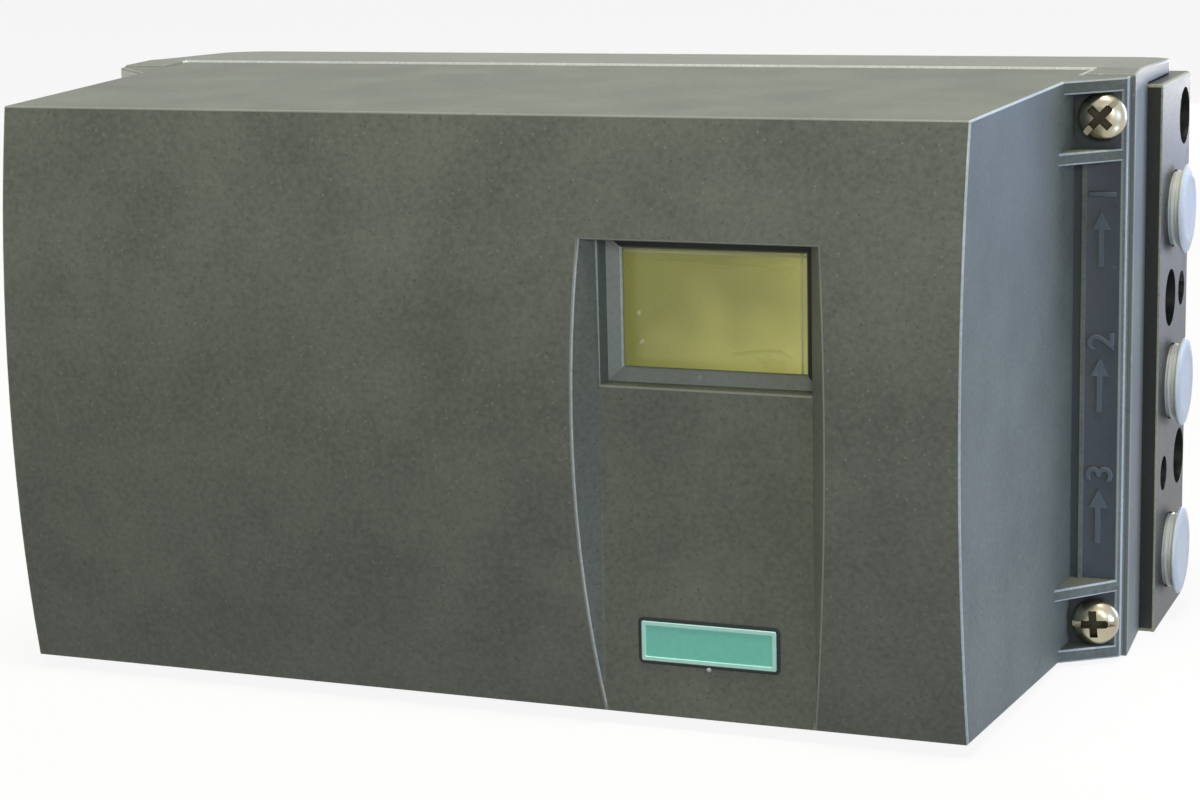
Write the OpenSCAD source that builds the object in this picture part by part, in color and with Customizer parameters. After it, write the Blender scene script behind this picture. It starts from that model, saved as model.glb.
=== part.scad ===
// Valve positioner: a deep moulded cover on a shallow base, a pneumatic
// connection block on the right and a feedback shaft out of the rear.
// Frame: origin on the shaft axis at the rear mounting face, +X to the right,
// +Y out of the rear, +Z up. Lengths in millimetres.

/* [Case] */
// Width of the base across its lugs
case_w = 186; // [184:0.5:200]
// Height of the base
case_h = 97; // [95.5:0.5:108]
// Depth of the base, from the seam to the rear face
base_d = 34.5; // [33.5:0.5:42]
// Height of the side lugs above the seam
lug_h = 8; // [5:0.5:10]
// Inward draft of the sides and of the top, from the lugs to the rear
side_in = 0.9; // [0.2:0.1:1.5]
top_in = 1; // [0.2:0.1:1.4]
// Wall of the base
base_wall = 4; // [3:0.25:5]
// Thick left wall that takes the cable entries and cover screws
left_wall = 14.5; // [12:0.5:18]
// Radius of the rear corners, seen from above
rear_r = 8; // [2:0.5:10]

/* [Cover] */
// Depth of the cover, from the seam to its front edges
cover_d = 66.5; // [64:0.5:90]
// Inset of the front face from the lugs, each side
front_in = 12.5; // [11:0.25:14]
// Fall of the cover's top and bottom at the front face
front_fall = 2.05; // [1.5:0.05:3.5]
// Rise of the bulged front at mid height
front_bulge = 4.6; // [2:0.2:7]
// Wall of the cover
cover_wall = 4; // [3:0.25:4.5]
// Step in from the base to the cover all round
seam_step = 0.3; // [0.1:0.1:0.6]
// Step in from the lugs to the flanges
flange_in = 0.7; // [0.2:0.1:1]
// Seam between cover and base
seam_gap = 0.3; // [0.2:0.1:0.6]

/* [Cover flange] */
// Thickness of the side flanges
flange_t = 2.7; // [2:0.1:4]
// Inset of the cover body from the lugs where it meets the flanges
root_in = 9.1; // [8:0.1:10]
// Height of the end gussets at the cover wall
gusset_h = 6.7; // [4:0.1:9]
// Thickness of the end gussets
gusset_t = 2.2; // [1.5:0.1:3]
// Height of the two ribs at the cover wall
rib_h = 9.5; // [5:0.5:11]
// Thickness of the ribs
rib_t = 2; // [1.2:0.1:3]
// Distance from the screws to the ribs
rib_gap = 6.1; // [5.7:0.1:8.5]
// Bevel of the flange's outer edge
edge_w = 0.6; // [0.3:0.1:0.9]
// Width and height of the ridge beside the wall
ridge_w = 0.6; // [0.4:0.1:0.8]
ridge_h = 0.8; // [0.4:0.1:1.2]

/* [Cover screws] */
// Distance of the screws from the sides of the lugs
screw_side = 4.6; // [4.5:0.1:4.8]
// Distance of the screws from the top and bottom
screw_top = 6.8; // [6.7:0.1:7]
// Head diameter
screw_head = 7.8; // [7:0.1:8]
// Shank diameter
screw_d = 5; // [4:0.5:5]
// Depth of the screws' thread in the lugs
screw_grip = 11; // [8:0.5:11]

/* [Display recess] */
// Distance of the recess's middle from the right-hand lugs
recess_side = 53.2; // [51:0.2:59]
// Width of the recess floor
recess_w = 33.8; // [32:0.2:38]
// Top of the recess above the middle
recess_top = 28; // [27:0.2:30]
// Spread of the recess walls per unit of depth
recess_slope = 0.65; // [0.3:0.05:0.9]
// Lower lip of the window pocket above the middle
pocket_low = 5.3; // [4:0.1:6]
// Depth of the window pocket below the recess floor
pocket_d = 3.7; // [3:0.1:4]
// Width of the bevelled ledge round the window
ledge_w = 2.2; // [1.5:0.1:2.6]
// Drop of the bevelled ledge
ledge_d = 1; // [0.4:0.1:1.2]
// Thickness of the window pane
pane_t = 2; // [1.5:0.1:2.5]

/* [Pneumatic block] */
// Width of the connection block
block_w = 30.5; // [28:0.5:34]
// Depth of the connection block
block_d = 27; // [26:0.5:29]
// How far the block stands out past the lugs
block_proud = 1.6; // [1:0.05:3]
// Roof of the base over the block
block_roof = 3.3; // [3.2:0.1:3.9]
// Spacing of the ports
port_pitch = 30; // [29:0.5:31]
// Height of the lowest port above the block's underside
port_low = 11.5; // [10.5:0.5:12.5]
// Distance of the ports from the rear face
port_back = 14; // [13.5:0.5:15]
// Port thread diameter
port_d = 13.2; // [11:0.1:13.4]
// Plug disc diameter
plug_d = 15.2; // [14:0.1:17]
// How far the plug discs stand out
plug_proud = 2.7; // [2:0.1:5]
// Diameter of the plain holes in the block's face
core_d = 9.8; // [8:0.1:10]
// Diameter of the tapped holes in the block's face
tap_d = 6; // [5:1:6]
// Depth of the tapped holes
tap_l = 8; // [6:0.5:10]
// Width of the valve manifold inside the cover
manifold_w = 15; // [12:0.5:15.5]
// Depth of the valve manifold
manifold_d = 46; // [40:1:50]

/* [Shaft and gears] */
// Distance of the shaft from the right-hand lugs
shaft_side = 63; // [62:0.5:64]
// Diameter of the shaft end that takes the lever
shaft_d = 8; // [6:0.5:9]
// Length of the shaft end behind the case
shaft_l = 15; // [10:1:30]
// Journal diameter
journal_d = 10; // [9.5:0.5:11]
// Length of the bush
bush_l = 12; // [9:0.5:13]
// Tooth module of the gears
gear_m = 1; // [0.9:0.05:1.05]
// Teeth on the drive gear
drive_teeth = 48; // [44:4:48]
// Teeth on the potentiometer gear
pot_teeth = 16; // [14:1:18]
// Thickness of the gears
gear_t = 6; // [4:0.5:7]
// Diameter of the adjusting wheel
wheel_d = 38; // [30:1:40]
// Thickness of the adjusting wheel
wheel_t = 7; // [5:0.5:8]
// Spacing of the rear mounting inserts, both ways
insert_pitch = 50; // [48:1:52]
// Thread diameter of the inserts
insert_d = 8; // [6:1:8]
// Depth of thread in the inserts
insert_l = 9; // [8:0.5:12]

/* [Electronics] */
// Free width for wiring beside the carrier
wiring_w = 12; // [9:0.5:14]
// Width of the terminal bay
bay_w = 24; // [20:1:28]
// Wall of the carrier
carrier_wall = 2; // [1.5:0.1:2.5]
// Thickness of the boards
board_t = 1.6; // [1:0.1:2]
// Thickness of the module cover
plate_t = 2; // [1.5:0.1:3]
// Thickness of the display frame
lcd_t = 5; // [4:0.5:6]
// Diameter of the button caps
button_d = 6.6; // [5:0.2:7.6]
// Travel of the buttons
button_travel = 0.8; // [0.4:0.1:1.2]
// Spacing of the buttons
button_pitch = 10; // [9.6:0.2:11]

/* [Cable entries] */
// Thread diameter of the cable entries
entry_d = 20; // [16:1:20]
// Spacing of the two entries
entry_dz = 44; // [42:1:48]
// Width across the flats of the gland
gland_af = 24; // [22:0.5:25]
// Bore of the gland's seal
cable_d = 10; // [6:0.5:11]

/* [Fits] */
// Radial clearance of running fits
run_gap = 0.05; // [0.02:0.01:0.08]
// Clearance between fitted fixed pieces
fit_gap = 0.1; // [0.05:0.05:0.15]
// Clearance round moving pieces
move_gap = 0.3; // [0.3:0.05:0.4]

/* [Hidden] */
$fn = 64;
eps = 0.5;
large_screw = 4;
mid_screw = 3;
small_screw = 2.5;
large_bore = large_screw + 2 * fit_gap;
mid_bore = mid_screw + 2 * fit_gap;
small_bore = small_screw + 2 * fit_gap;
large_head = 7.4;
mid_head = 5.7;
small_head = 5;
large_head_h = 2.7;
mid_head_h = 2;
small_head_h = 1.8;
large_thread = 9;
mid_thread = 9;
small_thread = 5;

// Case planes, in the frame of the case: X from its middle, Y from the rear
half_w = case_w / 2;
half_h = case_h / 2;
front_w = case_w - 2 * front_in;
front_h = case_h - 2 * front_fall;
root_w = case_w - 2 * root_in;
screw_dx = case_w - 2 * screw_side;
screw_dz = case_h - 2 * screw_top;
rib_z = screw_dz / 2 - rib_gap;
recess_x = half_w - recess_side;
shaft_x = half_w - shaft_side;
seam_y = -base_d;
cover_back = seam_y - seam_gap;
front_y = seam_y - cover_d;
lug_y = seam_y - lug_h;
flange_y = lug_y - seam_gap - flange_t;
flange_x = half_w - flange_in;
side_draft = (root_w - front_w) / 2 / (flange_y - front_y);
top_draft = (half_h - seam_step - front_h / 2) / (cover_back - front_y);
front_r = (pow(front_h / 2, 2) + pow(front_bulge, 2)) / (2 * front_bulge);
nose_y = front_y - front_bulge - 1;
rear_x = half_w - side_in;
cav_x0 = -rear_x + left_wall;
cav_z = half_h - base_wall;
floor_y = -base_wall;
wall_x = front_w / 2 + side_draft * (cover_back - front_y);
seal_x = wall_x - cover_wall / 2;
seal_z = half_h - seam_step - cover_wall / 2;
seal_w = 1.8;
seal_d = 1.4;
lug_x0 = wall_x + seam_gap;
ridge_x = root_w / 2 + 1.4;
screw_l = flange_t + seam_gap + screw_grip;
screw_head_h = 3;

// Recess, window and display planes
pocket_y = front_y + pocket_d;
window_w = recess_w - 2 * ledge_w;
window_top = recess_top - ledge_w;
window_low = pocket_low + ledge_w;
window_z = (window_top + window_low) / 2;
window_h = window_top - window_low;
window_frame = 3.2;
recess_rim = recess_slope * front_bulge + cover_wall;
pane_y = pocket_y + ledge_d + 0.8;
boss_y = pane_y + pane_t;
lcd_y = boss_y + 0.4;
module_y = lcd_y + lcd_t;
carrier_front = module_y + plate_t;

// Block, ports and manifold
block_x1 = half_w + block_proud;
block_x0 = block_x1 - block_w;
block_top = half_h - block_roof;
port_mid = port_low + port_pitch - half_h;
cav_x1 = block_x0 - base_wall;
plate_y = -block_d - base_wall;
plate_x1 = wall_x - cover_wall;
port_zs = [for (i = [1, 0, -1]) port_mid + i * port_pitch];
port_l = 12;
core_back = 5.6;
core_edge = 7.2;
core_z = [block_top - core_edge, port_mid + port_pitch / 2, port_mid - port_pitch / 2];
manifold_x0 = cav_x1 + 1;
manifold_z = cav_z - 4.5;
manifold_y = plate_y - manifold_d;
seat_l = 8;
foot_l = 10;
channel_d = 6;
manifold_mid = manifold_x0 + manifold_w / 2;
insert_od = insert_d + 3;
insert_end = insert_l + 1.5;
boss_end = insert_end + 2;
block_screw_y = -(boss_end + large_head / 2 + 1);
block_screw_z = [for (k = [1.2, 0.35, -0.7]) port_mid + k * port_pitch];
manifold_screw_z = [port_mid + 0.7 * port_pitch, port_mid - 0.4 * port_pitch];
restrictor_d = 6;
selector_d = 7;
knob_l = 5;
knob_proud = 2;
pilot_z = (manifold_z - restrictor_d - 6 + selector_d / 2 + 2) / 2;
pilot_h = manifold_z - restrictor_d - 6 - selector_d / 2 - 2;
pilot_d = 9;
restrictor_z = manifold_z - restrictor_d / 2 - 2.5;
tap_at = [[core_back + 0.3, core_z[1]], [port_back + 6.2, core_z[2]]];
silencer_d = 14;
silencer_t = 5;
silencer_x = block_x0 + silencer_d / 2 + 2;
silencer_y = -(silencer_d / 2 + 3);

// Shaft train, from the rear wall to the front
seal_t = 3;
bush_d = journal_d + 4;
shaft_seal_d = bush_d + 4;
bearing_y = -seal_t - bush_l;
hub_l = 1.6;
gear_y = bearing_y - move_gap - hub_l;
spring_t = 2;
wheel_y = gear_y - gear_t - spring_t;
clip_y = wheel_y - wheel_t;
clip_t = 1;
shaft_end = clip_y - clip_t - 3;
axis_dx = -gear_m * (drive_teeth + pot_teeth) / 2;
pot_x = shaft_x + axis_dx;
spindle_d = 4;
bridge_y = gear_y - gear_t - 3;
bridge_t = 3;
pot_d = 20;
pot_l = 8.5;
pot_cap = 1.5;
tag_w = 1.2;
tag_y = bridge_y - bridge_t - pot_l / 2;
pot_front = bridge_y - bridge_t - pot_l - pot_cap;

// Electronics
carrier_back = pot_front - 3;
carrier_x0 = cav_x0 + wiring_w;
carrier_x1 = manifold_x0 - 3;
carrier_z = cav_z - 4.75;
step_x = shaft_x - 4;
bay_x1 = carrier_x0 + carrier_wall + bay_w;
bay_y = carrier_back - carrier_wall - 14;
board_at = [for (x = [bay_x1 + carrier_wall + 7, step_x - carrier_wall - 5], z = [-1, 1])
    [x, z * (carrier_z - 17)]];
board_y = carrier_back - carrier_wall - 6;
board_z = carrier_z - 11;
display_y = carrier_front + 4;
lcd_w = recess_w + 2;
lcd_h = window_h + 2 * ledge_w + 4;
display_w = lcd_w - 5.8;
glass_w = recess_w - 0.6;
glass_h = window_h + 2 * ledge_w - 0.6;
glass_t = 1.8;
button_z = pocket_low - 8;
board_low = button_z - 4;
step_z = board_low - carrier_wall - 1;
switch_y = display_y - 1;
button_rear = switch_y - button_travel - 0.1;
button_xs = [for (i = [-1, 0, 1]) recess_x + i * button_pitch];
module_at = [[bay_x1 + 6, carrier_z - 6], [bay_x1 + 6, 6 - carrier_z]];
post_d = 8;
bay_z = carrier_z - 6 - post_d / 2 - 2;
term_z = bay_z - 1;
term_poles = 6;
term_t = 12;
term_lip = 5;
term_well = 7;
term_mouth = 3;
post_at = [[carrier_x0 + 6, carrier_z - 6], [carrier_x0 + 6, 6 - carrier_z],
    [carrier_x1 - 8, carrier_z - 6], [step_x - 6, 6 - carrier_z]];
bridge_out = [11, 15];
bridge_in = [4, 21];
bridge_rim = 4;
bridge_at = [for (s = [1, -1], p = [[-bridge_out[0], bridge_out[1]], bridge_in]) [pot_x + p[0], s * p[1]]];

// Cable entries
entry_y = -(base_wall + entry_d / 2);
plug_z = entry_dz / 2;
gland_z = -entry_dz / 2;
gland_hex = 6;
gland_stub = 9;
gland_x = -rear_x;
clamp_t = 1.5;
stub_x = gland_x - gland_hex - gland_stub;

function half_width(y) = front_w / 2 + side_draft * (y - front_y);
function half_height(y) = front_h / 2 + top_draft * (y - front_y);

// Moves from the frame of the case to the frame of the shaft
module at_case() translate([-shaft_x, 0, 0]) children();

// Extrudes a front-view outline (X, Z) from depth y by t towards the front
module slab(y, t) translate([0, y, 0]) rotate([90, 0, 0]) linear_extrude(height = t) children();

// Extrudes a side-view outline (Y, Z) from x by l to the right
module side_slab(x, l) translate([x, 0, 0]) rotate([90, 0, 90]) linear_extrude(height = l) children();

// Box between a low and a high value on each axis
module span_box(x, y, z)
    translate([x[0], y[0], z[0]]) cube([x[1] - x[0], y[1] - y[0], z[1] - z[0]]);

// Round bar from a point towards the front
module bar(p, d, l) translate(p) rotate([90, 0, 0]) cylinder(d = d, h = l);

// Round bar from a point to the right
module cross_bar(p, d, l) translate(p) rotate([0, 90, 0]) cylinder(d = d, h = l);

// Pan head with a shank, axis +Z, seat of the head at zero
module pan_screw(head, head_h, d, l) {
    difference() {
        intersection() {
            cylinder(d = head, h = head_h);
            translate([0, 0, head_h - head]) sphere(d = 2 * head, $fn = 96);
        }
        translate([-head * 0.08, -head, head_h * 0.62]) cube([head * 0.16, 2 * head, head_h]);
        for (a = [0, 90])
            rotate([0, 0, a])
                translate([-head * 0.27, -head * 0.07, head_h * 0.4])
                    cube([head * 0.54, head * 0.14, head_h]);
    }
    translate([0, 0, -l]) cylinder(d = d, h = l);
}

// Pan screw whose head faces the front
module front_screw(p, head, head_h, d, l, turn = 0)
    translate(p) rotate([90, turn, 0]) pan_screw(head, head_h, d, l);

// Outline with one step cut from its lower right corner
module stepped_outline(x0, x1, z, sx, sz)
    polygon([[x0, -z], [sx, -z], [sx, sz], [x1, sz], [x1, z], [x0, z]]);

// Ring outline between two centred rectangles
module frame_outline(w, h, t)
    difference() {
        square([w, h], center = true);
        square([w - 2 * t, h - 2 * t], center = true);
    }

// Outline of the base from above: drafted sides, a lug at each end, round rear corners
module base_plan()
    difference() {
        polygon([[-half_w, lug_y], [-lug_x0, lug_y], [-lug_x0, seam_y], [lug_x0, seam_y], [lug_x0, lug_y],
            [half_w, lug_y], [rear_x, -block_d], [rear_x, 0], [-rear_x, 0], [-rear_x, -block_d]]);
        for (s = [-1, 1])
            difference() {
                translate([s * rear_x - (s > 0 ? rear_r : 0), -rear_r]) square(rear_r + eps);
                translate([s * (rear_x - rear_r), -rear_r]) circle(rear_r);
            }
    }

// Side view of the base: the top falls to the rear
module base_side()
    polygon([[lug_y, -half_h], [eps, -half_h], [eps, half_h - top_in], [seam_y, half_h],
        [lug_y, half_h - seam_step]]);

// Seat of the connection block in the base, with clearance
module block_seat()
    span_box([block_x0 - fit_gap, case_w], [-block_d - fit_gap, eps], [-case_h, block_top + fit_gap]);

module base_housing()
    color("dimgray") at_case() difference() {
        union() {
            difference() {
                intersection() {
                    translate([0, 0, -case_h]) linear_extrude(height = 2 * case_h) base_plan();
                    side_slab(-case_w, 2 * case_w) base_side();
                }
                block_seat();
                span_box([cav_x0, cav_x1], [seam_y - eps, floor_y], [-cav_z, cav_z]);
                span_box([cav_x1 - eps, plate_x1], [seam_y - eps, plate_y], [-cav_z, cav_z]);
            }
            bar([shaft_x, floor_y + eps, 0], bush_d + 8, -bearing_y - base_wall + eps);
            for (dx = [-1, 1], dz = [-1, 1])
                bar([shaft_x + dx * insert_pitch / 2, floor_y + eps, dz * insert_pitch / 2], insert_od + 4,
                    boss_end - base_wall + eps);
            for (p = post_at) bar([p[0], floor_y + eps, p[1]], post_d, -carrier_back - base_wall + eps);
            for (p = bridge_at) bar([p[0], floor_y + eps, p[1]], post_d - 1, -bridge_y - base_wall + eps);
            bar([pot_x, floor_y + eps, 0], spindle_d + 5, -gear_y - base_wall - hub_l / 2 + eps);
        }
        // Shaft bearing and its seal
        bar([shaft_x, eps, 0], bush_d + 2 * fit_gap, -bearing_y + 2 * eps);
        bar([shaft_x, eps, 0], shaft_seal_d + 2 * fit_gap, seal_t + eps);
        // Potentiometer spindle
        bar([pot_x, -base_wall - 2, 0], spindle_d + 2 * run_gap, base_d);
        for (dx = [-1, 1], dz = [-1, 1])
            bar([shaft_x + dx * insert_pitch / 2, eps, dz * insert_pitch / 2], insert_od + 2 * fit_gap,
                insert_end + fit_gap + eps);
        for (p = post_at)
            bar([p[0], carrier_back + mid_thread, p[1]], mid_bore, mid_thread + eps);
        for (p = bridge_at)
            bar([p[0], bridge_y + mid_thread, p[1]], mid_bore, mid_thread + eps);
        // Cover screws in the lugs, cable entries in the left wall
        for (dx = [-1, 1], dz = [-1, 1])
            bar([dx * screw_dx / 2, lug_y + screw_grip + 1, dz * screw_dz / 2], screw_d + 2 * move_gap,
                screw_l);
        for (z = [plug_z, gland_z]) cross_bar([-case_w, entry_y, z], entry_d, case_w + cav_x0 + eps);
        cross_bar([-case_w, entry_y, 0], large_bore, case_w + gland_x + large_thread);
        // Block screws and air channels to the manifold
        for (z = block_screw_z)
            cross_bar([cav_x1 - eps, block_screw_y, z], large_bore, base_wall + 2 * eps);
        for (z = port_zs) bar([manifold_mid, -block_d + eps, z], channel_d, base_wall + 2 * eps);
        for (z = manifold_screw_z)
            bar([manifold_mid, -block_d + eps, z], large_bore, base_wall + 2 * eps);
    }

// Brass inserts with a blind thread, flush with the rear face
module mounting_inserts()
    color("darkgoldenrod") for (dx = [-1, 1], dz = [-1, 1])
        difference() {
            bar([dx * insert_pitch / 2, 0, dz * insert_pitch / 2], insert_od, insert_end);
            bar([dx * insert_pitch / 2, eps, dz * insert_pitch / 2], insert_d, insert_l + eps);
        }

// Side view of the cover, drafted towards the front
module cover_side(inset, back)
    polygon([[back, inset - half_height(back)], [back, half_height(back) - inset],
        [nose_y, half_height(nose_y) - inset], [nose_y, inset - half_height(nose_y)]]);

// Drafted body of the cover with its bulged front, shrunk by inset
module cover_form(inset, back)
    intersection() {
        translate([0, 0, -case_h]) linear_extrude(height = 2 * case_h)
            polygon([[inset - half_width(back), back], [half_width(back) - inset, back],
                [half_width(nose_y) - inset, nose_y], [inset - half_width(nose_y), nose_y]]);
        side_slab(-case_w, 2 * case_w) cover_side(inset, back);
        translate([0, front_y - front_bulge + front_r, 0]) rotate([0, 90, 0])
            cylinder(r = front_r - inset, h = 2 * case_w, center = true, $fn = 400);
    }

// Wedge on the flange, seen from above, that falls from the cover wall
module wedge_plan(rise, reach)
    let (y = flange_y - rise, x = half_width(flange_y - rise))
    polygon([[x - 1, y], [x, y], [reach, flange_y], [reach, flange_y + 1], [x - 1, flange_y + 1]]);

// Right flange with its bevelled edge, end gussets, ribs and ridge
module flange_detail()
    intersection() {
        side_slab(0, case_w) cover_side(0, cover_back);
        union() {
            translate([0, 0, -case_h]) linear_extrude(height = 2 * case_h)
                polygon([[seal_x, flange_y], [flange_x - edge_w, flange_y], [flange_x, flange_y + edge_w],
                    [flange_x, flange_y + flange_t], [seal_x, flange_y + flange_t]]);
            difference() {
                translate([0, 0, -case_h]) linear_extrude(height = 2 * case_h)
                    wedge_plan(gusset_h, flange_x - edge_w);
                side_slab(0, case_w) cover_side(gusset_t, cover_back + 1);
            }
            for (s = [-1, 1])
                translate([0, 0, s * rib_z - rib_t / 2]) linear_extrude(height = rib_t)
                    wedge_plan(rib_h, flange_x - edge_w);
            span_box([ridge_x, ridge_x + ridge_w], [flange_y - ridge_h, flange_y + 1], [-rib_z, rib_z]);
        }
    }

// Space in front of the recess floor, with sloped side walls
module recess_cut()
    translate([recess_x, 0, -case_h]) linear_extrude(height = case_h + recess_top)
        let (d = front_y - nose_y, half = recess_w / 2, spread = recess_slope * d)
        polygon([[-half, front_y], [half, front_y], [half + spread, nose_y], [-half - spread, nose_y]]);

// Half of a bevelled opening in section, from the pocket floor to the window
module bevel_outline(mouth)
    polygon([[pocket_y - eps, -mouth / 2], [pocket_y, -mouth / 2],
        [pocket_y + ledge_d, ledge_w - mouth / 2], [pocket_y + ledge_d, mouth / 2 - ledge_w],
        [pocket_y, mouth / 2], [pocket_y - eps, mouth / 2]]);

// Bevelled frame from the pocket floor down to the window opening
module ledge_cut()
    translate([recess_x, 0, window_z]) intersection() {
        side_slab(-recess_w, 2 * recess_w) bevel_outline(window_h + 2 * ledge_w);
        translate([0, 0, -recess_w]) linear_extrude(height = 2 * recess_w) rotate(90) mirror([0, 1])
            bevel_outline(recess_w);
    }

module front_cover()
    color("dimgray") at_case() difference() {
        union() {
            difference() {
                union() {
                    cover_form(0, cover_back);
                    for (m = [0, 1]) mirror([m, 0, 0]) flange_detail();
                }
                cover_form(cover_wall, cover_back + 1);
            }
            // Wall behind the recess, and the thick frame behind the window
            intersection() {
                cover_form(0, cover_back);
                span_box([recess_x - recess_w / 2 - recess_rim, recess_x + recess_w / 2 + recess_rim],
                    [nose_y, front_y + cover_wall], [-case_h, recess_top + cover_wall]);
            }
            slab(boss_y, boss_y - front_y - cover_wall / 2) translate([recess_x, window_z])
                square([recess_w + 2 * window_frame, window_h + 2 * ledge_w + 2 * window_frame],
                    center = true);
        }
        recess_cut();
        span_box([recess_x - recess_w / 2, recess_x + recess_w / 2], [front_y - eps, pocket_y],
            [pocket_low, recess_top]);
        ledge_cut();
        slab(boss_y + eps, pane_y - front_y) translate([recess_x, window_z])
            square([window_w, window_h], center = true);
        slab(boss_y + eps, pane_t + eps) translate([recess_x, window_z])
            square([recess_w + 2 * fit_gap, window_h + 2 * ledge_w + 2 * fit_gap], center = true);
        // Screw holes and the gasket's groove
        for (dx = [-1, 1], dz = [-1, 1])
            bar([dx * screw_dx / 2, lug_y + eps, dz * screw_dz / 2], screw_d + 2 * fit_gap,
                flange_t + 2 * eps);
        slab(cover_back + eps, seal_d + eps)
            frame_outline(2 * seal_x + seal_w, 2 * seal_z + seal_w, seal_w);
    }

// Square-section gasket: it stands out of its groove and meets the base
module cover_gasket()
    color("black") at_case() slab(seam_y, seam_gap + seal_d - fit_gap)
        let (w = seal_w - 2 * fit_gap)
        frame_outline(2 * seal_x + w, 2 * seal_z + w, w);

module cover_screws()
    color("silver") at_case() for (dx = [-1, 1], dz = [-1, 1])
        front_screw([dx * screw_dx / 2, flange_y, dz * screw_dz / 2], screw_head, screw_head_h, screw_d,
            screw_l, dx * 25 + dz * 20);

module window_pane()
    color("lightyellow", 0.4) at_case() slab(boss_y, pane_t) translate([recess_x, window_z])
        square([recess_w, window_h + 2 * ledge_w], center = true);

module pneumatic_block()
    color("#33362f") at_case() difference() {
        span_box([block_x0, block_x1], [-block_d, 0], [-half_h, block_top]);
        for (z = port_zs) {
            cross_bar([block_x1 - port_l, -port_back, z], port_d, port_l + eps);
            cross_bar([manifold_mid, -port_back, z], channel_d, block_x1 - manifold_mid);
            bar([manifold_mid, -port_back, z], channel_d, block_d);
        }
        // Plain holes near the rear edge, and one between the upper ports
        for (p = [[core_back, core_z[0]], [core_back, core_z[2]], [port_back + 2.6, core_z[1]]])
            cross_bar([block_x1 - tap_l, -p[0], p[1]], core_d, tap_l + eps);
        for (p = tap_at) cross_bar([block_x1 - tap_l, -p[0], p[1]], tap_d, tap_l + eps);
        for (z = block_screw_z)
            cross_bar([block_x0 - eps, block_screw_y, z], large_bore, large_thread + eps);
        for (z = manifold_screw_z)
            bar([manifold_mid, large_thread - block_d, z], large_bore, large_thread + eps);
        translate([silencer_x, silencer_y, -half_h - eps]) cylinder(d = silencer_d, h = silencer_t + eps);
    }

module block_screws()
    color("silver") at_case() for (z = block_screw_z)
        translate([cav_x1, block_screw_y, z]) rotate([0, -90, 0])
            pan_screw(large_head, large_head_h, large_screw, base_wall + large_thread - 1);

// Pushed-in transport plug: a thin disc on a hollow stepped neck
module port_plug(z)
    color("#d5e0e4", 0.8) at_case() translate([block_x1, -port_back, z]) rotate([0, 90, 0])
        rotate_extrude() {
            neck = port_d / 2 - run_gap;
            translate([0, plug_proud - 1]) square([plug_d / 2, 1]);
            difference() {
                translate([0, -7]) square([neck, 7 + plug_proud]);
                translate([0, -7 - eps]) square([neck - 1.2, 6 + plug_proud]);
                translate([neck - 0.3, plug_proud - 1.8]) square([1, 0.8]);
            }
        }

module port_plug_upper() port_plug(port_zs[0]);
module port_plug_middle() port_plug(port_zs[1]);
module port_plug_lower() port_plug(port_zs[2]);

// Sintered disc in the exhaust opening under the block
module exhaust_silencer()
    color("tan") at_case() translate([silencer_x, silencer_y, -half_h]) difference() {
        cylinder(d = silencer_d - 2 * fit_gap, h = silencer_t - fit_gap);
        translate([0, 0, -eps]) cylinder(d = silencer_d / 2, h = 1 + eps);
    }

module valve_manifold()
    color("#202225") at_case() difference() {
        union() {
            span_box([manifold_x0, manifold_x0 + manifold_w], [manifold_y, plate_y - foot_l],
                [-manifold_z, manifold_z]);
            span_box([manifold_x0, manifold_x0 + manifold_w], [plate_y - foot_l - eps, plate_y],
                [2 - manifold_z, manifold_z - 2]);
        }
        for (z = port_zs) bar([manifold_mid, plate_y + eps, z], channel_d, manifold_d / 2);
        for (z = manifold_screw_z) {
            bar([manifold_mid, plate_y + eps, z], large_bore, manifold_d + 2 * eps);
            bar([manifold_mid, plate_y - seat_l, z], large_head + 2 * move_gap, manifold_d);
        }
        for (s = [-1, 1])
            bar([manifold_mid, manifold_y + knob_l, s * restrictor_z], restrictor_d + 2 * run_gap,
                knob_l + eps);
        bar([manifold_mid, manifold_y + knob_l, 0], selector_d + 2 * run_gap, knob_l + eps);
    }

module manifold_screws()
    color("silver") at_case() for (z = manifold_screw_z)
        front_screw([manifold_mid, plate_y - seat_l, z], large_head, large_head_h, large_screw,
            seat_l + base_wall + large_thread - 1);

// Piezo pilot stage: a flat box with cooling ribs on the manifold's front
module pilot_valve(s)
    color("#3a3d42") at_case() {
        span_box([manifold_x0 + 1, manifold_x0 + manifold_w - 1], [manifold_y - pilot_d, manifold_y],
            [s * pilot_z - pilot_h / 2, s * pilot_z + pilot_h / 2]);
        for (i = [-2:2])
            span_box([manifold_x0 + 2.5, manifold_x0 + manifold_w - 2.5],
                [manifold_y - pilot_d - 0.8, manifold_y - pilot_d + eps],
                [s * pilot_z + i * pilot_h / 6 - 0.6, s * pilot_z + i * pilot_h / 6 + 0.6]);
    }

module pilot_valve_upper() pilot_valve(1);
module pilot_valve_lower() pilot_valve(-1);

// Slotted adjuster that turns in the manifold's front
module adjuster(d, z)
    at_case() difference() {
        bar([manifold_mid, manifold_y + knob_l - move_gap, z], d, knob_l - move_gap + knob_proud);
        span_box([manifold_mid - d / 2 - eps, manifold_mid + d / 2 + eps],
            [manifold_y - knob_proud - eps, manifold_y - knob_proud + 1.2], [z - 0.6, z + 0.6]);
    }

module restrictor_upper() color("darkgoldenrod") adjuster(restrictor_d, restrictor_z);
module restrictor_lower() color("darkgoldenrod") adjuster(restrictor_d, -restrictor_z);
module purge_selector() color("ivory") adjuster(selector_d, 0);

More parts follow.
